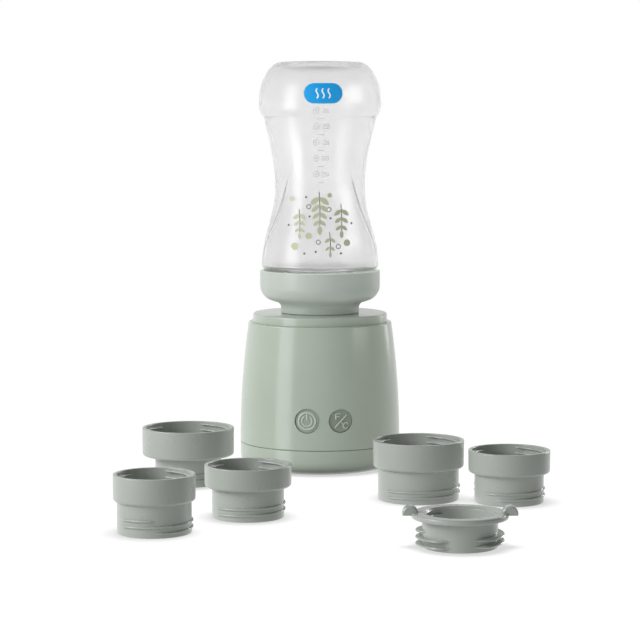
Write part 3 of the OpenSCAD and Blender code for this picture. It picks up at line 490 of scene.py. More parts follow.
def brushed_steel(name, turned):
    """Steel with fine marks, round the axis where it was turned."""
    look = Look(name, 0.3)
    look.put("Metallic", 1.0)
    marks = look.noise(900, 2.0, (0.05, 0.05, 3.0) if turned else (1, 1, 1))
    look.tint(marks, srgb(176, 178, 180), srgb(206, 208, 210))
    look.ranged(marks, 0.24, 0.38, "Roughness")
    look.bump(marks, 0.15, 0.01)


def rubber(name, colour):
    """Matt rubber or soft lead cover."""
    look = Look(name, 0.75)
    look.tint(look.noise(180), shade(colour, 0.85), shade(colour, 1.15))
    look.bump(look.noise(2200), 0.35, 0.04)


def printed(name, colour):
    """Printing ink with slightly uneven cover."""
    look = Look(name, 0.5)
    look.tint(look.noise(900), shade(colour, 0.93), shade(colour, 1.06))
    look.bump(look.noise(3000), 0.1, 0.01)


def circuit():
    """Green solder mask with faint copper tracks."""
    look = Look("circuit_board", 0.35)
    tracks = look.nodes.new("ShaderNodeTexBrick")
    tracks.inputs["Scale"].default_value = 220
    tracks.inputs["Color1"].default_value = srgb(24, 92, 56)
    tracks.inputs["Color2"].default_value = srgb(28, 100, 62)
    tracks.inputs["Mortar"].default_value = srgb(46, 122, 78)
    look.links.new(look.place, tracks.inputs["Vector"])
    look.links.new(tracks.outputs["Color"], look.shader.inputs["Base Color"])
    look.bump(tracks.outputs["Fac"], 0.2, 0.02)


def felt():
    """Fibrous insulation."""
    look = Look("insulation", 0.9)
    fibres = look.noise(700, 6.0, (1, 1, 0.25))
    look.tint(fibres, srgb(176, 173, 166), srgb(220, 218, 212))
    look.bump(fibres, 0.8, 0.3)


def foil():
    """Copper heater foil."""
    look = Look("heater_foil", 0.35)
    look.put("Metallic", 1.0)
    bands = look.noise(300, 2.0, (0.2, 0.2, 2.0))
    look.tint(bands, srgb(176, 112, 70), srgb(212, 146, 98))
    look.bump(bands, 0.3, 0.05)


SAGE = srgb(171, 181, 168)
moulded("sage_plastic", SAGE, 0.2, depth_mm=0.003)
# A darker copy of the sage plastic: painted shade on the sunk button faces
moulded("button_plastic", shade(SAGE, 0.8), 0.34, depth_mm=0.006)
# A still darker copy of the sage plastic: painted shade in the sunk dish
moulded("dish_painted_shade", shade(SAGE, 0.68), 0.34, depth_mm=0.006)
# A lighter copy of the sage plastic: painted highlight on the raised button signs
moulded("sign_painted_highlight", shade(SAGE, 1.25), 0.3, depth_mm=0.006)
moulded("collar_plastic", srgb(166, 173, 166), 0.4)
moulded("adapter_plastic", srgb(164, 170, 163), 0.28, grain=2200, depth_mm=0.015)
clear_plastic()
soft_silicone()
rubber("foot_rubber", srgb(70, 74, 69))
brushed_steel("cup_steel", turned=True)
brushed_steel("screw_steel", turned=False)
moulded("white_plastic", srgb(224, 224, 218), 0.45)
foil()
felt()
moulded("cell_wrap", srgb(58, 110, 158), 0.3)
moulded("black_plastic", srgb(38, 38, 40), 0.4)
circuit()
rubber("lead_insulation", srgb(48, 48, 48))
printed("ink_green", srgb(186, 189, 160))
printed("ink_grey", srgb(92, 93, 88))
printed("ink_pale", srgb(204, 206, 207))
printed("ink_blue", srgb(0, 157, 228))
printed("ink_white", srgb(240, 244, 246))


# The base

def bottom_cover():
    """Lower part of the base, with its ledge under the seam and the recess for the foot."""
    top = SEAM_Z - SEAM_W / 2
    floor = COVER_Z + 3.2
    recess_r = FOOT_R + 0.1
    recess_z = COVER_Z + 1
    ledge_r = BODY_R - 1.1
    inner_r = BODY_R - WALL
    tongue_r = inner_r - 0.3
    tongue_in = inner_r - 1.5
    tongue_top = SHELL_Z + 2.6
    edge = 0.3
    outline = rounded([
        (recess_r, COVER_Z, edge), (BODY_R, COVER_Z, CORNER), (BODY_R, top, SEAM_EDGE),
        (ledge_r, top), (ledge_r, SHELL_Z), (tongue_r, SHELL_Z), (tongue_r, tongue_top, edge),
        (tongue_in, tongue_top, edge), (tongue_in, top - 4), (inner_r, top - 5),
        (inner_r, floor, CORNER - WALL), (0, floor), (0, recess_z), (recess_r, recess_z),
    ], steps=9)
    dress(lathe("base_cover", outline), "base", "sage_plastic", "sage_plastic", "bottom_cover")


def foot():
    """Rubber foot with grip grooves on its underside."""
    groove = 0.4
    mouth = 0.5
    root = 0.3
    under = [(0, 0)]
    for r in (12, 18, 24, 30):
        under += [(r - mouth, 0), (r - root, groove), (r + root, groove), (r + mouth, 0)]
    outline = rounded(under + [(FOOT_R, 0, 0.4), (FOOT_R, FOOT_TOP, 0.2), (0, FOOT_TOP)])
    dress(lathe("base_foot", outline), "base", "foot_rubber", "foot_rubber", "foot_pad")


BUTTON_LIP = 1.2
BUTTON_GAP = 0.22


def button_place(node):
    """Middle and radius of a button's face, without the lip behind the wall."""
    low, high = span(node)
    return (low.x + high.x) / 2, (low.z + high.z) / 2, (high.x - low.x) / 2 - BUTTON_LIP


BUTTONS = {node: button_place(node) for node in ("power_button", "unit_button")}


def bar(outline, start, end):
    """A bar along Y with an outline of (x, z)."""
    bm = bmesh.new()
    loft(bm, [[(x, y, z) for x, z in outline] for y in (start, end)], caps=True)
    return mesh_object("bar", bm)


def slot_outline(z, width, height, steps=24):
    """A slot with round ends, at a height in the middle."""
    reach = (width - height) / 2
    return arc(reach, z, height / 2, -90, 90, steps) + arc(-reach, z, height / 2, 90, 270, steps)


def rim_bead(x, z, r):
    """A fine bead on the wall, along a circle."""
    half_w = 0.3
    half_h = 0.18
    sunk = 0.06
    sides = 10
    loops = []
    for u, v in ring_points(0, 0, 1):
        loop = []
        for k in range(sides):
            t = 2 * math.pi * k / sides
            reach = r + half_w * math.cos(t)
            loop.append(on_wall(x + u * reach, z + v * reach, sunk - half_h * math.sin(t)))
        loops.append(loop)
    bm = bmesh.new()
    loft(bm, loops, closed=True)
    return mesh_object("bead", bm)


USB_PLAY = 0.6
USB_LOW, USB_HIGH = span("usb_port")
USB_Z = (USB_LOW.z + USB_HIGH.z) / 2
USB_W = USB_HIGH.x - USB_LOW.x + USB_PLAY
USB_H = USB_HIGH.z - USB_LOW.z + USB_PLAY


def outer_shell():
    """Upper part of the base, with its button holes and the charging slot."""
    rows = 44
    foot_z = SHELL_Z + SEAM_EDGE
    head_z = SHELL_TOP - TOP_EDGE
    outline = (
        arc(wall_r(foot_z) - SEAM_EDGE, foot_z, SEAM_EDGE, -90, -15, 4)
        + [(wall_r(z), z) for z in spaced(foot_z, head_z, rows)]
        + arc(wall_r(head_z) - TOP_EDGE, head_z, TOP_EDGE, 12, 90, 7)
        + [(LID_HOLE_R, SHELL_TOP), (LID_HOLE_R, LID_Z)]
        + [(wall_r(z) - WALL, z) for z in spaced(LID_Z, SHELL_Z, rows)]
    )
    shell = lathe("base_shell", outline)
    outside = BODY_R + 5
    within = BODY_R / 2
    holes = [(x, z, r + BUTTON_GAP) for x, z, r in BUTTONS.values()]
    cuts = [bar(ring_points(*hole), -outside, -within) for hole in holes]
    cuts.append(bar(slot_outline(USB_Z, USB_W, USB_H), within, outside))
    combine(shell, cuts, "DIFFERENCE")
    bead_out = 0.1
    combine(shell, [rim_bead(x, z, r + bead_out) for x, z, r in holes], "UNION")
    dress(shell, "base", "sage_plastic", "sage_plastic", "outer_shell")


def top_ring():
    """Raised ring on top of the base, with the threaded mouth."""
    tube_r = MOUTH_R + 2.5
    plug_r = LID_HOLE_R - 0.3
    seat_z = SHELL_TOP + 0.02
    draft = 0.15
    lead_in = 0.8
    edge = 0.3
    outline = rounded([
        (MOUTH_R, MOUTH_END), (tube_r, MOUTH_END), (tube_r, LID_Z), (plug_r, LID_Z), (plug_r, seat_z),
        (RING_R + draft, seat_z), (RING_R, RING_TOP, TOP_EDGE), (MOUTH_R + lead_in, RING_TOP, edge),
        (MOUTH_R, RING_TOP - lead_in, edge),
    ], steps=7)
    ring = lathe("mouth_ring", outline)
    crest = SPIGOT_R + 0.3
    thread_w = 1.4
    turns = 2.5
    thread_z = COLLAR_LOW + FINE_START + FINE_PITCH / 2
    combine(ring, [ridge(MOUTH_R, crest, thread_w, thread_z, FINE_PITCH, 0, 360 * turns)], "UNION")
    dress(ring, "base", "sage_plastic", "sage_plastic", "top_ring")


# The buttons, with depths under the wall's surface

FACE_SINK = 0.75
SIGN_SINK = 0.3
DISH = 0.5
SIGN_FOOT = FACE_SINK + DISH + 0.1
BUTTON_DEPTH = 4.5
FACE_SHARE = 0.9


def button_cap(name, button, profile):
    """A button's cap. profile holds (radius, depth under the wall's surface) from the middle out."""
    x, z, r = BUTTONS[button]
    middle, *edges = profile
    loops = []
    for reach, depth in edges + [(r, BUTTON_DEPTH)]:
        loops.append([on_wall(x + u * reach, z + v * reach, depth) for u, v in ring_points(0, 0, 1)])
    bm = bmesh.new()
    rings = loft(bm, loops)
    fan(bm, on_wall(x, z, middle[1]), rings[0])
    bm.faces.new(rings[-1])
    return mesh_object(name, bm)


def button_signs(name, button, body, lines, rings):
    """The raised signs of a button: lines of (width, points) and closed rings of (width, x, z, radius)."""
    x, z, _ = BUTTONS[button]
    bm = bmesh.new()

    def place(u, v, lift):
        return on_wall(x + u, z + v, -lift)

    for width, points in lines:
        stroke(bm, points, width, place, -SIGN_FOOT, -SIGN_SINK)
    for width, u, v, r in rings:
        stroke(bm, ring_points(u, v, r, steps=48), width, place, -SIGN_FOOT, -SIGN_SINK, closed=True)
    # The signs wear the lighter copy of the sage plastic, painted highlight on raised marks
    dress(mesh_object(name, bm), body, "sign_painted_highlight", "button_plastic")


def power_button():
    """Power button: a raised ring round the power sign."""
    r = BUTTONS["power_button"][2]
    profile = [(reach, FACE_SINK) for reach in spaced(0, r * FACE_SHARE, 6)]
    profile += [(r - 0.2, FACE_SINK + 0.03), (r - 0.06, FACE_SINK + 0.1), (r, FACE_SINK + 0.3)]
    cap = button_cap("power_cap", "power_button", profile)
    # The cap wears the darker copy of the sage plastic, painted shade on its sunk face
    dress(cap, "power", "button_plastic", "button_plastic", "power_button")
    line = 0.85
    sign_r = 2.9
    ring_w = 1.15
    ring_r = 4.8
    lines = [(line, ring_points(0, 0, sign_r, 120, 420, 40)), (line, [(0, 0.7), (0, 2.2), (0, 3.8)])]
    button_signs("power_sign", "power_button", "power", lines, [(ring_w, 0, 0, ring_r)])


def unit_button():
    """Unit button: a shallow dish with the two degree signs."""
    r = BUTTONS["unit_button"][2]
    profile = [(r * FACE_SHARE * t, FACE_SINK + DISH * (1 - t ** 2)) for t in spaced(0, 1, 10)]
    profile += [(r - 0.35, FACE_SINK - 0.1), (r - 0.12, FACE_SINK), (r, FACE_SINK + 0.3)]
    cap = button_cap("unit_cap", "unit_button", profile)
    # The dish wears the darkest copy of the sage plastic, painted shade in the sunk dish
    dress(cap, "unit", "dish_painted_shade", "button_plastic", "unit_button")
    line = 0.95
    dot = 0.5
    lines = [
        (line, [(-3.3, -3.9), (0.1, -0.3), (3.4, 3.3)]),
        (line, [(-2.7, 0.9), (-2.7, 2.6), (-2.7, 4.3)]),
        (line, [(-2.7, 4.3), (-1.5, 4.3), (-0.3, 4.3)]),
        (line, [(-2.7, 2.6), (-1.8, 2.6), (-0.9, 2.6)]),
        (line, ring_points(3.1, -2.7, 1.6, 50, 310, 20)),
    ]
    dots = [(dot, u, v, dot) for u, v in ((-4.1, 3.5), (0.9, -1.3))]
    button_signs("unit_sign", "unit_button", "unit", lines, dots)


# The collar

def flights(start, break_at, turns=2):
    """The stretches of a thread that begins at one angle and is broken at another on each turn."""
    stop = start + 360 * turns
    found = []
    for turn in range(turns + 1):
        a = max(start, break_at + FINE_BREAK / 2 + 360 * (turn - 1))
        b = min(stop, break_at - FINE_BREAK / 2 + 360 * turn)
        if b - a > SHORTEST_FLIGHT:
            found.append((a, b))
    return found


def spigot_thread(z, r, start, break_at, place=(0, 0)):
    """The fine thread of a spigot of radius r, whose height at the angle 0 is z."""
    return [
        ridge(r, r + FINE_H, FINE_W, z, FINE_PITCH, a, b, place, run_out=8, round_off=0.45)
        for a, b in flights(start, break_at)
    ]


def collar():
    """The bowl-shaped collar, with the sleeve for the bottle's thread and its spigot."""
    bowl_r = 9.0
    bowl_drop = 8.9
    thick = 2.2
    lean = 18
    fillet = 3.6
    neck = 22.9
    edge = 0.4
    lip_out = 0.6
    lip_in = 0.5
    bowl_x = COLLAR_R - bowl_r
    bowl_z = COLLAR_TOP - bowl_drop
    floor_z = bowl_z - bowl_r + thick
    sleeve_r = SLEEVE_IN + thick
    slope = math.radians(lean)
    fillet_x = neck + fillet
    slope_run = bowl_x + bowl_r * math.sin(slope) - fillet_x + fillet * math.sin(slope)
    fillet_z = bowl_z - (bowl_r + fillet) * math.cos(slope) - slope_run * math.tan(slope)
    # The last corner only gives the direction of the bowl's floor
    inner = rounded([
        (sleeve_r, floor_z, 1.5), (sleeve_r, SLEEVE_TOP, 0.5), (SLEEVE_IN, SLEEVE_TOP, 0.5),
        (SLEEVE_IN, SHELF_Z, edge), (BORE_R, SHELF_Z, edge), (BORE_R, COLLAR_LOW, edge),
        (SPIGOT_R, COLLAR_LOW, 0.5), (SPIGOT_R, SEAT_Z, edge), (neck, SEAT_Z, 0.3), (neck, fillet_z),
        (bowl_x, floor_z + 0.01),
    ])[:-1]
    outline = (
        inner + arc(fillet_x, fillet_z, fillet, 180, 90 + lean, 10)
        + arc(bowl_x, bowl_z, bowl_r, lean - 90, 0, 20)
        + arc(COLLAR_R - lip_out, COLLAR_TOP - lip_out, lip_out, 0, 90, 6)
        + arc(COLLAR_R - thick + lip_in, COLLAR_TOP - lip_in, lip_in, 90, 180, 4)
        + arc(bowl_x, bowl_z, bowl_r - thick, 0, -90, 14)
    )
    piece = lathe("bottle_collar", outline)
    crest = NECK_R + 0.5
    turns = 2
    sleeve_z = RIM_Z + COARSE_START + COARSE_PITCH / 2
    threads = [ridge(SLEEVE_IN, crest, COARSE_W, sleeve_z, COARSE_PITCH, 0, 360 * turns)]
    threads += spigot_thread(COLLAR_LOW + FINE_START, SPIGOT_R, FINE_FROM, FINE_BREAK_AT)
    combine(piece, threads, "UNION")
    return dress(piece, "collar", "collar_plastic", "adapter_plastic", "collar")


# The bottle, with the angles of its grips in degrees from the front or the back

GRIP_LOW = SHOULDER_Z + 4.0
GRIP_HIGH = SHOULDER_Z + 70.0
GRIP_DEPTH = 1.3
GRIP_EDGE_LOW = 82.0
GRIP_EDGE_HIGH = 34.0
GRIP_EDGE_W = 9
GRIP_FADE_LOW = 0.25
GRIP_FADE_HIGH = 0.5


def bottle_r(z):
    """Radius of the bottle's side at a height above its shoulder."""
    if z < WAIST_Z:
        turn = math.pi * (WAIST_Z - z) / (WAIST_Z - BELLY_Z)
        return WAIST_R + (SHOULDER_R - WAIST_R) * (1 - math.cos(turn)) / 2
    if z < CREASE_Z:
        turn = math.pi / 2 * (z - WAIST_Z) / (CREASE_Z - WAIST_Z)
        return WAIST_R + (CREASE_R - WAIST_R) * (1 - math.cos(turn))
    if z < BULB_Z:
        return BULB_R - BULB_ARC + math.sqrt(BULB_ARC ** 2 - (BULB_Z - z) ** 2)
    return BULB_R - CROWN_W + CROWN_W * math.sqrt(max(0.0, 1 - ((z - BULB_Z) / CROWN_H) ** 2))


def panel(z, a):
    """How far the front and back panels stand proud of the grips at the bottle's sides."""
    off = math.degrees(math.acos(min(1.0, abs(math.sin(a)))))
    along = (z - GRIP_LOW) / (GRIP_HIGH - GRIP_LOW)
    if not 0 < along < 1:
        return 0.0
    edge = GRIP_EDGE_LOW + (GRIP_EDGE_HIGH - GRIP_EDGE_LOW) * along
    depth = GRIP_DEPTH * smooth(along / GRIP_FADE_LOW) * smooth((1 - along) / GRIP_FADE_HIGH)
    return depth * smooth((edge - off) / GRIP_EDGE_W + 0.5)


def bottle_side(inset):
    """The bottle's side from its shoulder to its base, as (radius, height), set in by a wall."""
    rows, bulb_rows = 70, 12
    heights = spaced(BELLY_Z, CREASE_Z, rows)[:-1] + spaced(CREASE_Z, BULB_Z, bulb_rows)[:-1]
    side = [(bottle_r(z) - inset, z) for z in heights]
    for u, v in arc(0, 0, 1, 0, 90, 18):
        side.append((BULB_R - CROWN_W + (CROWN_W - inset) * u, BULB_Z + (CROWN_H - inset) * v))
    return side


def bottle():
    """The clear bottle, upside down, with grips at its sides and a thread on its neck."""
    inner_r = NECK_R - 2.3
    inner_z = SHOULDER_Z + BOTTLE_WALL
    turn_r = SHOULDER_R - SHOULDER_ROUND
    edge = 0.6
    push_r = 19.0
    push_z = BOTTLE_TOP - 1.5
    dome = 0.6
    neck = rounded([
        (inner_r, inner_z), (inner_r, RIM_Z, edge), (NECK_R, RIM_Z, edge), (NECK_R, SHOULDER_Z, 0.8),
        (turn_r, SHOULDER_Z),
    ])[1:]
    outline = (
        neck + arc(turn_r, BELLY_Z, SHOULDER_ROUND, -80, -10, 8) + bottle_side(0)
        + [(push_r + 2.2, BOTTLE_TOP), (push_r + 1.2, BOTTLE_TOP - 0.2), (push_r, push_z + 0.2),
           (push_r - 1, push_z), (0, push_z - dome), (0, push_z - dome - BOTTLE_WALL),
           (push_r, push_z - BOTTLE_WALL)]
        + bottle_side(BOTTLE_WALL)[::-1]
        + arc(turn_r, BELLY_Z, SHOULDER_ROUND - BOTTLE_WALL, -10, -80, 4)
        + [(turn_r, inner_z), (inner_r + edge, inner_z)]
    )
    side_r = NECK_R + 2

    def grip(r, z, a):
        return r + panel(z, a) if r > side_r else r

    body = lathe("feeding_bottle", outline, radius_at=grip)
    first, last = -60, 254
    thread = (NECK_R, COARSE_CREST, COARSE_W, RIM_Z + COARSE_START, COARSE_PITCH)
    combine(body, [ridge(*thread, turn + first, turn + last) for turn in (0, 360)], "UNION")
    dress(body, "bottle", "clear_plastic", "clear_plastic", "bottle")
    body.visible_shadow = False
    return body


# Printing on the bottle, with heights above its shoulder

INK_LIFT = 0.05
INK_T = 0.05
# Places (x, z) of the motifs, with a sprig's height and pairs of leaves and a dot's radius
SPRIGS = ((-0.5, 46, 19, 4), (-12, 36, 13, 3), (12, 39, 15, 3), (5.5, 23, 11, 2))
DOTS = ((-16, 42, 1.4), (-6.5, 21, 1.8), (15.5, 17, 1.9), (-14.5, 15, 2.1), (5.5, 44, 1.3))
SPECKS = ((-8, 43), (-18, 27), (-2.5, 12), (12, 11), (18, 28), (-9, 11), (6, 31), (-6, 32))
RINGS = ((5.2, 36), (-6.5, 37.5), (-1, 17.5), (10.5, 15))


def on_bottle(x, up, lift):
    """The point on the bottle's front at x and a height above its shoulder, lifted off its surface."""
    z = SHOULDER_Z + up
    a = -math.pi / 2
    for _ in range(4):
        r = bottle_r(z) + panel(z, a) + lift
        a = -math.pi / 2 + math.asin(max(-1.0, min(1.0, x / r)))
    return Vector((r * math.cos(a), r * math.sin(a), z))


def ink_shape(bm, outline, middle, rings=5):
    """A thin patch of ink with a star-shaped outline round a middle point."""
    centre = Vector(middle)
    shares = spaced(0, 1, rings)[1:]
    over = INK_LIFT + INK_T
    sheets = [(share, over) for share in shares] + [(share, INK_LIFT) for share in reversed(shares)]
    loops = [[on_bottle(*centre.lerp(Vector(p), share), lift) for p in outline] for share, lift in sheets]
    made = loft(bm, loops)
    fan(bm, on_bottle(*centre, over), made[0])
    fan(bm, on_bottle(*centre, INK_LIFT), made[-1])


def ink_dot(bm, x, z, r, steps, rings=5):
    """A round patch of ink."""
    ink_shape(bm, ring_points(x, z, r, steps=steps), (x, z), rings)


def ink_line(bm, points, width, closed=False):
    """A thin printed line."""
    stroke(bm, points, width, on_bottle, INK_LIFT, INK_LIFT + INK_T, closed=closed)


def leaf(bm, x, z, length, width, turn, steps=14):
    """A pointed leaf that starts at (x, z) and points along an angle."""
    along = Vector((math.cos(math.radians(turn)), math.sin(math.radians(turn))))
    across = Vector((-along.y, along.x))
    base = Vector((x, z))
    points = []
    for side in (1, -1):
        for i in range(steps):
            t = i / steps if side == 1 else 1 - i / steps
            half = width / 2 * math.sin(math.pi * t) ** 0.8
            points.append(base + along * length * t + across * side * half)
    ink_shape(bm, points, base + along * length / 2)


def sprig(green, grey, x, z, height, pairs):
    """A hanging sprig: a stem from (x, z) downwards with pairs of leaves and one at its tip."""
    stem_w = 0.45
    sway = 0.5
    largest = 0.36
    shrink = 0.04
    slim = 0.46
    spread_angle = 52
    ink_line(grey, [(x + sway * math.sin(2.2 * t), z - height * t) for t in spaced(0, 1, 12)], stem_w)
    for i in range(pairs):
        at = z - height * (i + 0.7) / (pairs + 0.3)
        size = height * (largest - shrink * i)
        for side in (-1, 1):
            leaf(green, x + 0.3, at, size, size * slim, -90 + side * spread_angle)
    leaf(green, x + 0.4, z - height, height * 0.3, height * 0.15, -90)


def bottle_print():
    """Generic sprigs, dots and rings on the bottle's front."""
    green = bmesh.new()
    grey = bmesh.new()
    speck_r = 0.6
    ring_r = 1.2
    ring_w = 0.4
    for x, z, height, pairs in SPRIGS:
        sprig(green, grey, x, z, height, pairs)
    for x, z, r in DOTS:
        ink_dot(green, x, z, r, 20)
    for x, z in SPECKS:
        ink_dot(grey, x, z, speck_r, 12)
    for x, z in RINGS:
        ink_line(grey, ring_points(x, z, ring_r, steps=20), ring_w, closed=True)
    dress(mesh_object("print_green", green), "bottle", "ink_green")
    dress(mesh_object("print_grey", grey), "bottle", "ink_grey")


def digit_lines(text, size):
    """Strokes of a number, with its middle on the origin and turned upside down with the bottle."""
    top, mid, low = size, size / 2, 0.0
    right = size * 0.55
    pitch = size * 0.85
    bars = {
        "a": [(0, top), (right, top)], "b": [(right, top), (right, mid)], "c": [(right, mid), (right, low)],
        "d": [(right, low), (0, low)], "e": [(0, low), (0, mid)], "f": [(0, mid), (0, top)],
        "g": [(0, mid), (right, mid)],
    }
    lit = {"0": "abcdef", "1": "bc", "2": "abged", "3": "abgcd", "5": "afgcd", "6": "afedcg", "9": "abcdfg"}
    shift = (len(text) - 1) * pitch / 2 + right / 2
    lines = []
    for i, digit in enumerate(text):
        for name in lit[digit]:
            lines.append([(-(x + i * pitch - shift), -(z - mid)) for x, z in bars[name]])
    return lines


def bottle_scale():
    """Measuring marks: numbers, rings and ticks up the bottle's front."""
    pale = bmesh.new()
    first = 92.5
    step = 9.1
    ring_x, ring_r, ring_w = -2.2, 1.6, 0.4
    dot_r = 0.55
    number_x, number_h, number_w = 3.6, 2.2, 0.3
    tick_w = 0.28
    for i, text in enumerate(("30", "60", "90", "120", "150")):
        z = first - step * i
        ink_line(pale, ring_points(ring_x, z, ring_r, steps=24), ring_w, closed=True)
        ink_dot(pale, ring_x, z, dot_r, 12, rings=2)
        for line in digit_lines(text, number_h):
            ink_line(pale, [(number_x + x, z + v) for x, v in line], number_w)
        ink_line(pale, [(x, z - step / 2) for x in (-1.5, 0.5, 2.5)], tick_w)
    dress(mesh_object("print_scale", pale), "bottle", "ink_pale")


def bottle_badge():
    """A plain blue badge with three white wavy lines."""
    x, z = 1.8, 102.2
    half_w, half_h = 11.0, 5.8
    wave_gap = 3.4
    wave_h = 5.2
    wave_w = 0.8
    sway = 0.55
    blue = bmesh.new()
    reach = half_w - half_h
    edge = spaced(reach, -reach, 8)[1:-1]
    outline = arc(x + reach, z, half_h, -90, 90, 18) + [(x + u, z + half_h) for u in edge]
    outline += arc(x - reach, z, half_h, 90, 270, 18) + [(x - u, z - half_h) for u in edge]
    ink_shape(blue, outline, (x, z), rings=8)
    dress(mesh_object("print_badge", blue), "bottle", "ink_blue")
    white = bmesh.new()
    for k in (-1, 0, 1):
        wave = [
            (x + k * wave_gap + sway * math.sin(t * 6.0), z + wave_h * (t - 0.5)) for t in spaced(0, 1, 16)
        ]
        stroke(white, wave, wave_w, on_bottle, INK_LIFT + INK_T / 2, INK_LIFT + 2 * INK_T)
    dress(mesh_object("print_waves", white), "bottle", "ink_white")


# The loose adapters

ADAPTER_WALL = 2.0
SOCKET_FLOOR = 2.0
RING_STEP = 2.8
WIDE_ADAPTER = 4
WIDE_L = 17.6
LUG_H = 1.6
LUG_W = 1.2
LUG_DROP = 2.2
LUG_TURN = 127
# Angle at which each lug begins, and its shift in height
LUGS = ((-50, 0), (-230, FINE_PITCH / 2), (-410, 0))
# Angles at which each adapter's thread begins and breaks, and its shift in height
ADAPTER_THREADS = {
    1: (FINE_FROM, FINE_BREAK_AT, 0),
    2: (FINE_FROM, FINE_BREAK_AT, 0),
    3: (-85, 190, -1.3),
    4: (-147, 190, 0),
    5: (-116, 195, 0),
}


def middle_of(node):
    """A node's middle, seen from above, and half its depth."""
    low, high = span(node)
    return ((low.x + high.x) / 2, (low.y + high.y) / 2), (high.y - low.y) / 2


def adapter(n):
    """A loose adapter with its sealing ring: a threaded spigot under a socket ring with short lugs."""
    node = f"adapter_{n}"
    place, ring_r = middle_of(node)
    top = span(node)[1].z
    wide = n == WIDE_ADAPTER
    spigot_r = ring_r - RING_STEP if wide else SPIGOT_R
    spigot_l = WIDE_L if wide else SPIGOT_L
    bore = spigot_r - SPIGOT_WALL
    socket_r = ring_r - ADAPTER_WALL
    floor = spigot_l + SOCKET_FLOOR
    edge = 0.4
    outline = rounded([
        (bore, 0, edge), (spigot_r, 0, 0.45), (spigot_r, spigot_l, 0.35), (ring_r - 0.1, spigot_l, 1.5),
        (ring_r, top, edge), (socket_r, top, edge), (socket_r, floor, 0.5), (bore, floor, 0.3),
    ], steps=7)
    piece = lathe(f"neck_adapter_{n}", outline, place)
    start, break_at, shift = ADAPTER_THREADS[n]
    threads = spigot_thread(FINE_START + shift, spigot_r, start, break_at, place)
    for a, lift in LUGS:
        lug = (socket_r, socket_r - LUG_H, LUG_W, top - LUG_DROP + lift)
        threads.append(ridge(*lug, FINE_PITCH, a, a + LUG_TURN, place, run_out=5))
    combine(piece, threads, "UNION")
    dress(piece, node, "adapter_plastic", "adapter_plastic", node)
    return piece, sealing_ring(f"socket_seal_{n}", f"adapter_seal_{n}", node, bore)


def sealing_ring(node, name, body, bore):
    """A soft ring with rounded edges in the place of a flat one."""
    place, r = middle_of(node)
    low, high = span(node)
    edge = 0.4
    outline = rounded([(bore, low.z, edge), (r, low.z, edge), (r, high.z, edge), (bore, high.z, edge)])
    return dress(lathe(name, outline, place), body, "silicone", "silicone", node)


def ear(x, y, z, r, step):
    """An upright ear with a round head, set across the ring's rim."""
    half = 3.0
    bevel = 0.5
    head = [(r, 0), (r, step)] + arc(0, step, r, 8, 172, 20) + [(-r, step), (-r, 0)]
    loops = []
    for reach, inset in ((-half, bevel), (bevel - half, 0), (half - bevel, 0), (half, bevel)):
        scale = (r - inset) / r
        loops.append([(x + u * scale, y + reach, z + v * scale) for u, v in head])
    bm = bmesh.new()
    loft(bm, loops, caps=True)
    return mesh_object("ear", bm)


def reducing_ring():
    """The eared ring with the coarse broken thread."""
    low, high = span("reducing_ring")
    place, flange_r = middle_of("reducing_ring")
    tube_r = 18.2
    bore = tube_r - 2.0
    ear_r = 3.8
    ear_step = 0.8
    ear_lift = 1.5
    flange_h = 2.7
    lead_in = 1.2
    flange_z = high.z - ear_r - ear_step - ear_lift
    flange_top = flange_z + flange_h
    outline = rounded([
        (bore, 0, 0.4), (tube_r, 0, 0.5), (tube_r, flange_z, 0.8), (flange_r, flange_z, 0.9),
        (flange_r, flange_top, 1.0), (bore + lead_in, flange_top, 0.5), (bore, flange_top - lead_in, 0.4),
    ], steps=7)
    piece = lathe("eared_ring", outline, place)
    ear_x = (high.x - low.x) / 2 - ear_r
    extras = [ear(place[0] + s * ear_x, place[1], flange_z + ear_lift, ear_r, ear_step) for s in (-1, 1)]
    thread = (tube_r, COARSE_CREST, COARSE_W, 0, FINE_PITCH)
    ring_break = 34
    first = 360 * (COARSE_W / 2 + 0.1) / FINE_PITCH
    last = 925
    for turn in range(3):
        start = -90 + ring_break / 2 + 360 * turn
        flight = (max(start, first), min(last, start + 360 - ring_break))
        extras.append(ridge(*thread, *flight, place, run_out=20, round_off=0.85))
    lug_h = 1.2
    lug_drop = 3.6
    lug_turn = 83
    for a in (117, 297):
        lug = (bore, bore - lug_h, LUG_W, flange_top - lug_drop - FINE_PITCH * a / 360)
        extras.append(ridge(*lug, FINE_PITCH, a, a + lug_turn, place, run_out=6))
    combine(piece, extras, "UNION")
    return dress(piece, "reducing_ring", "adapter_plastic", "adapter_plastic", "reducing_ring")


# Build the pieces

bottom_cover()
foot()
outer_shell()
top_ring()
power_button()
unit_button()
bowl = collar()
clear_bottle = bottle()
bottle_print()
bottle_scale()
bottle_badge()
loose = [adapter(number) for number in ADAPTER_THREADS]
loose.append((reducing_ring(),))
sealing_ring("bottle_seal", "rim_seal", "seal", BORE_R)

# Finish of the nodes that are kept
for part in frame["record"]["subparts"]:
    node = frame["nodes"][part["node"]]
    node.data.materials.clear()
    node.data.materials.append(LOOKS[part["material_slot"]])


# Floor and world, with lengths in metres

# Slopes of a ray between which the white at the back sets in, mirrored and through the bottle
MIRRORED = (0.1, 0.7)
SEEN_THROUGH = (-0.4, 0.7)
# Slopes of the soft light from the sides and from above, and its levels there
SOFT_SLOPES = (0.15, 0.75)
SOFT_LEVELS = (0.28, 0.1)
# Distances between which the floor turns white, its glow and level near by, and its light near and far
WHITE_FROM = 0.32
WHITE_TO = 0.6
NEAR_GLOW = 0.5
NEAR_LEVEL = 1.17
BOUNCE = (0.8, 0.9)
# Distances between which the dark under the base ends, and the light thrown back there
UNDER_BASE = (BODY_R * MM, 1.35 * BODY_R * MM)
UNDER_LEVEL = 0.1
FLOOR_GREY = 0.86
FLOOR_RIMS = (0.3, 1.0, 6.0)


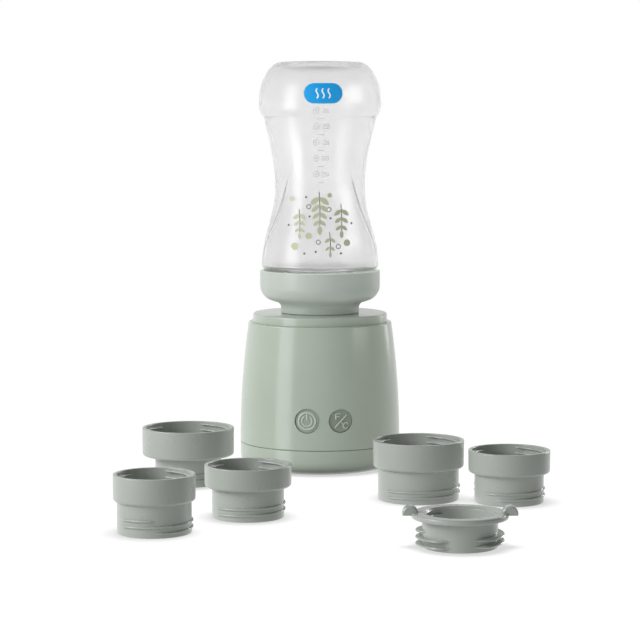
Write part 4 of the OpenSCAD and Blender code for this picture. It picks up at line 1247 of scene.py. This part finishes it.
def studio_world():
    """White to the camera and behind the object, and a soft light on the object."""
    world = bpy.data.worlds.new("studio")
    bpy.context.scene.world = world
    world.use_nodes = True
    tree = world.node_tree
    tree.nodes.clear()
    direction = tree.nodes.new("ShaderNodeTexCoord")
    parts = tree.nodes.new("ShaderNodeSeparateXYZ")
    tree.links.new(direction.outputs["Generated"], parts.inputs[0])
    behind = spread(tree, parts.outputs["Y"], *MIRRORED, 0.0, 1.0, "LINEAR")
    aside = spread(tree, parts.outputs["Y"], *SEEN_THROUGH, 0.0, 1.0, "LINEAR")
    path = tree.nodes.new("ShaderNodeLightPath")
    mirrored = joined(tree, "MULTIPLY", path.outputs["Is Glossy Ray"], behind)
    through = joined(tree, "MULTIPLY", path.outputs["Is Transmission Ray"], aside)
    seen = joined(tree, "MAXIMUM", path.outputs["Is Camera Ray"], through)
    white = tree.nodes.new("ShaderNodeBackground")
    soft = tree.nodes.new("ShaderNodeBackground")
    strength = spread(tree, parts.outputs["Z"], *SOFT_SLOPES, *SOFT_LEVELS)
    tree.links.new(strength, soft.inputs["Strength"])
    for background in (white, soft):
        background.inputs["Color"].default_value = (1, 1, 1, 1)
    mixed(tree, "ShaderNodeOutputWorld", joined(tree, "MAXIMUM", seen, mirrored), soft, white)


def studio_floor():
    """A white floor that keeps a soft shadow near the object."""
    bm = bmesh.new()
    rings = loft(bm, [[(u, v, 0) for u, v in ring_points(0, 0, r / MM)] for r in FLOOR_RIMS])
    bm.faces.new(rings[0])
    floor = mesh_object("floor", bm)
    material = bpy.data.materials.new("floor")
    material.use_nodes = True
    tree = material.node_tree
    tree.nodes.clear()
    place = tree.nodes.new("ShaderNodeTexCoord")
    reach = tree.nodes.new("ShaderNodeVectorMath")
    reach.operation = "LENGTH"
    tree.links.new(place.outputs["Object"], reach.inputs[0])
    away = reach.outputs["Value"]

    def outwards(near, far):
        return spread(tree, away, WHITE_FROM, WHITE_TO, near, far)

    path = tree.nodes.new("ShaderNodeLightPath")
    seen = joined(tree, "MAXIMUM", path.outputs["Is Camera Ray"], path.outputs["Is Transmission Ray"])
    unseen = joined(tree, "SUBTRACT", 1.0, seen)
    shown = joined(tree, "MULTIPLY", seen, outwards(NEAR_LEVEL, 1.0))
    shaded = spread(tree, away, *UNDER_BASE, UNDER_LEVEL, 1.0)
    thrown = joined(tree, "MULTIPLY", shaded, outwards(*BOUNCE))
    thrown = joined(tree, "MULTIPLY", unseen, thrown)
    paint = tree.nodes.new("ShaderNodeBsdfDiffuse")
    paint.inputs["Color"].default_value = (FLOOR_GREY, FLOOR_GREY, FLOOR_GREY, 1)
    glow = tree.nodes.new("ShaderNodeEmission")
    tree.links.new(joined(tree, "ADD", shown, thrown), glow.inputs["Strength"])
    share = joined(tree, "MAXIMUM", unseen, outwards(NEAR_GLOW, 1.0))
    mixed(tree, "ShaderNodeOutputMaterial", share, paint, glow)
    floor.data.materials.append(material)
    floor.visible_glossy = False
    floor.visible_shadow = False
    return floor


# Lamps: place, aim and size in metres

LAMPS = {
    "key": ((-1.22, -0.44, 0.85), (0, -0.08, 0.06), (0.7, 0.7)),
    "strip": ((-1.16, -0.87, 0.25), (0, 0, 0.25), (0.6, 1.3)),
    "side": ((-1.16, -0.87, 0.55), (0, -0.15, 0.02), (0.6, 0.7)),
    "fill": ((1.4, -0.6, 0.55), (0, -0.05, 0.08), (0.8, 0.6)),
    "rim": ((0.85, 0.7, 0.34), (0, -0.1, 0.06), (0.2, 0.6)),
    "low": ((-0.5, -0.9, -1.05), (0, 0, 0.12), (1.6, 0.5)),
    "top": ((0, -0.08, 1.6), (0, -0.08, 0), (0.8, 0.8)),
}
# Power for the standing pieces, the bowl, each loose piece and the floor, in watts
STANDING_POWER = {"key": 12.5, "strip": 8.5, "fill": 4.8, "rim": 1.0}
BOWL_POWER = {"low": 8.5, "top": 20.0}
LOOSE_POWER = {"key": 12.5, "side": 8.5, "rim": 5.5}
FLOOR_POWER = 25.0
NOT_ON_BOTTLE = ("key", "rim")
NOT_MIRRORED = ("low",)


def light_group(name, objects):
    """A collection of the objects that a lamp lights or that shade its light."""
    group = bpy.data.collections.new(name)
    for obj in objects:
        group.objects.link(obj)
    return group


def aimed(name, data, place, aim):
    """A lamp or a camera at a place, turned to a point."""
    obj = bpy.data.objects.new(name, data)
    obj.location = place
    obj.rotation_euler = (Vector(aim) - Vector(place)).to_track_quat("-Z", "Y").to_euler()
    bpy.context.scene.collection.objects.link(obj)
    return obj


def light(name, power, lit, shading=None):
    """A rectangular lamp that lights a group of objects, and the group that shades its light."""
    place, aim, size = LAMPS[name]
    lamp = bpy.data.lights.new(name, "AREA")
    lamp.shape = "RECTANGLE"
    lamp.size, lamp.size_y = size
    lamp.energy = power
    holder = aimed(name, lamp, place, aim)
    holder.light_linking.receiver_collection = lit
    holder.light_linking.blocker_collection = shading
    holder.visible_camera = False
    holder.visible_transmission = False
    holder.visible_glossy = name not in NOT_MIRRORED


lying = [obj for group in loose for obj in group]
pieces = [obj for obj in bpy.context.scene.objects if obj.type == "MESH" and obj not in lying]
stage = studio_floor()
standing = light_group("standing", pieces)
opaque = light_group("opaque", [obj for obj in pieces if obj is not clear_bottle])
studio_world()
for lamp_name, watts in STANDING_POWER.items():
    light(lamp_name, watts, opaque if lamp_name in NOT_ON_BOTTLE else standing, standing)
within = light_group("bowl", [bowl])
for lamp_name, watts in BOWL_POWER.items():
    light(lamp_name, watts, within, within)
for group in loose:
    near = light_group(group[0].name, group)
    for lamp_name, watts in LOOSE_POWER.items():
        light(lamp_name, watts, near, near)
light("top", FLOOR_POWER, light_group("ground", [stage]))

# Camera, in metres and pixels
CAMERA_PLACE = (0, -1.300, 0.205)
CAMERA_AIM = (0, 0, 0.0858)
FOCAL_PIXELS = 2218
IMAGE_PIXELS = 640
eye = bpy.data.cameras.new("camera")
eye.sensor_width = 36
eye.lens = eye.sensor_width * FOCAL_PIXELS / IMAGE_PIXELS
bpy.context.scene.camera = aimed("camera", eye, CAMERA_PLACE, CAMERA_AIM)
bpy.context.scene.view_settings.view_transform = "Standard"

bpy.context.view_layer.update()
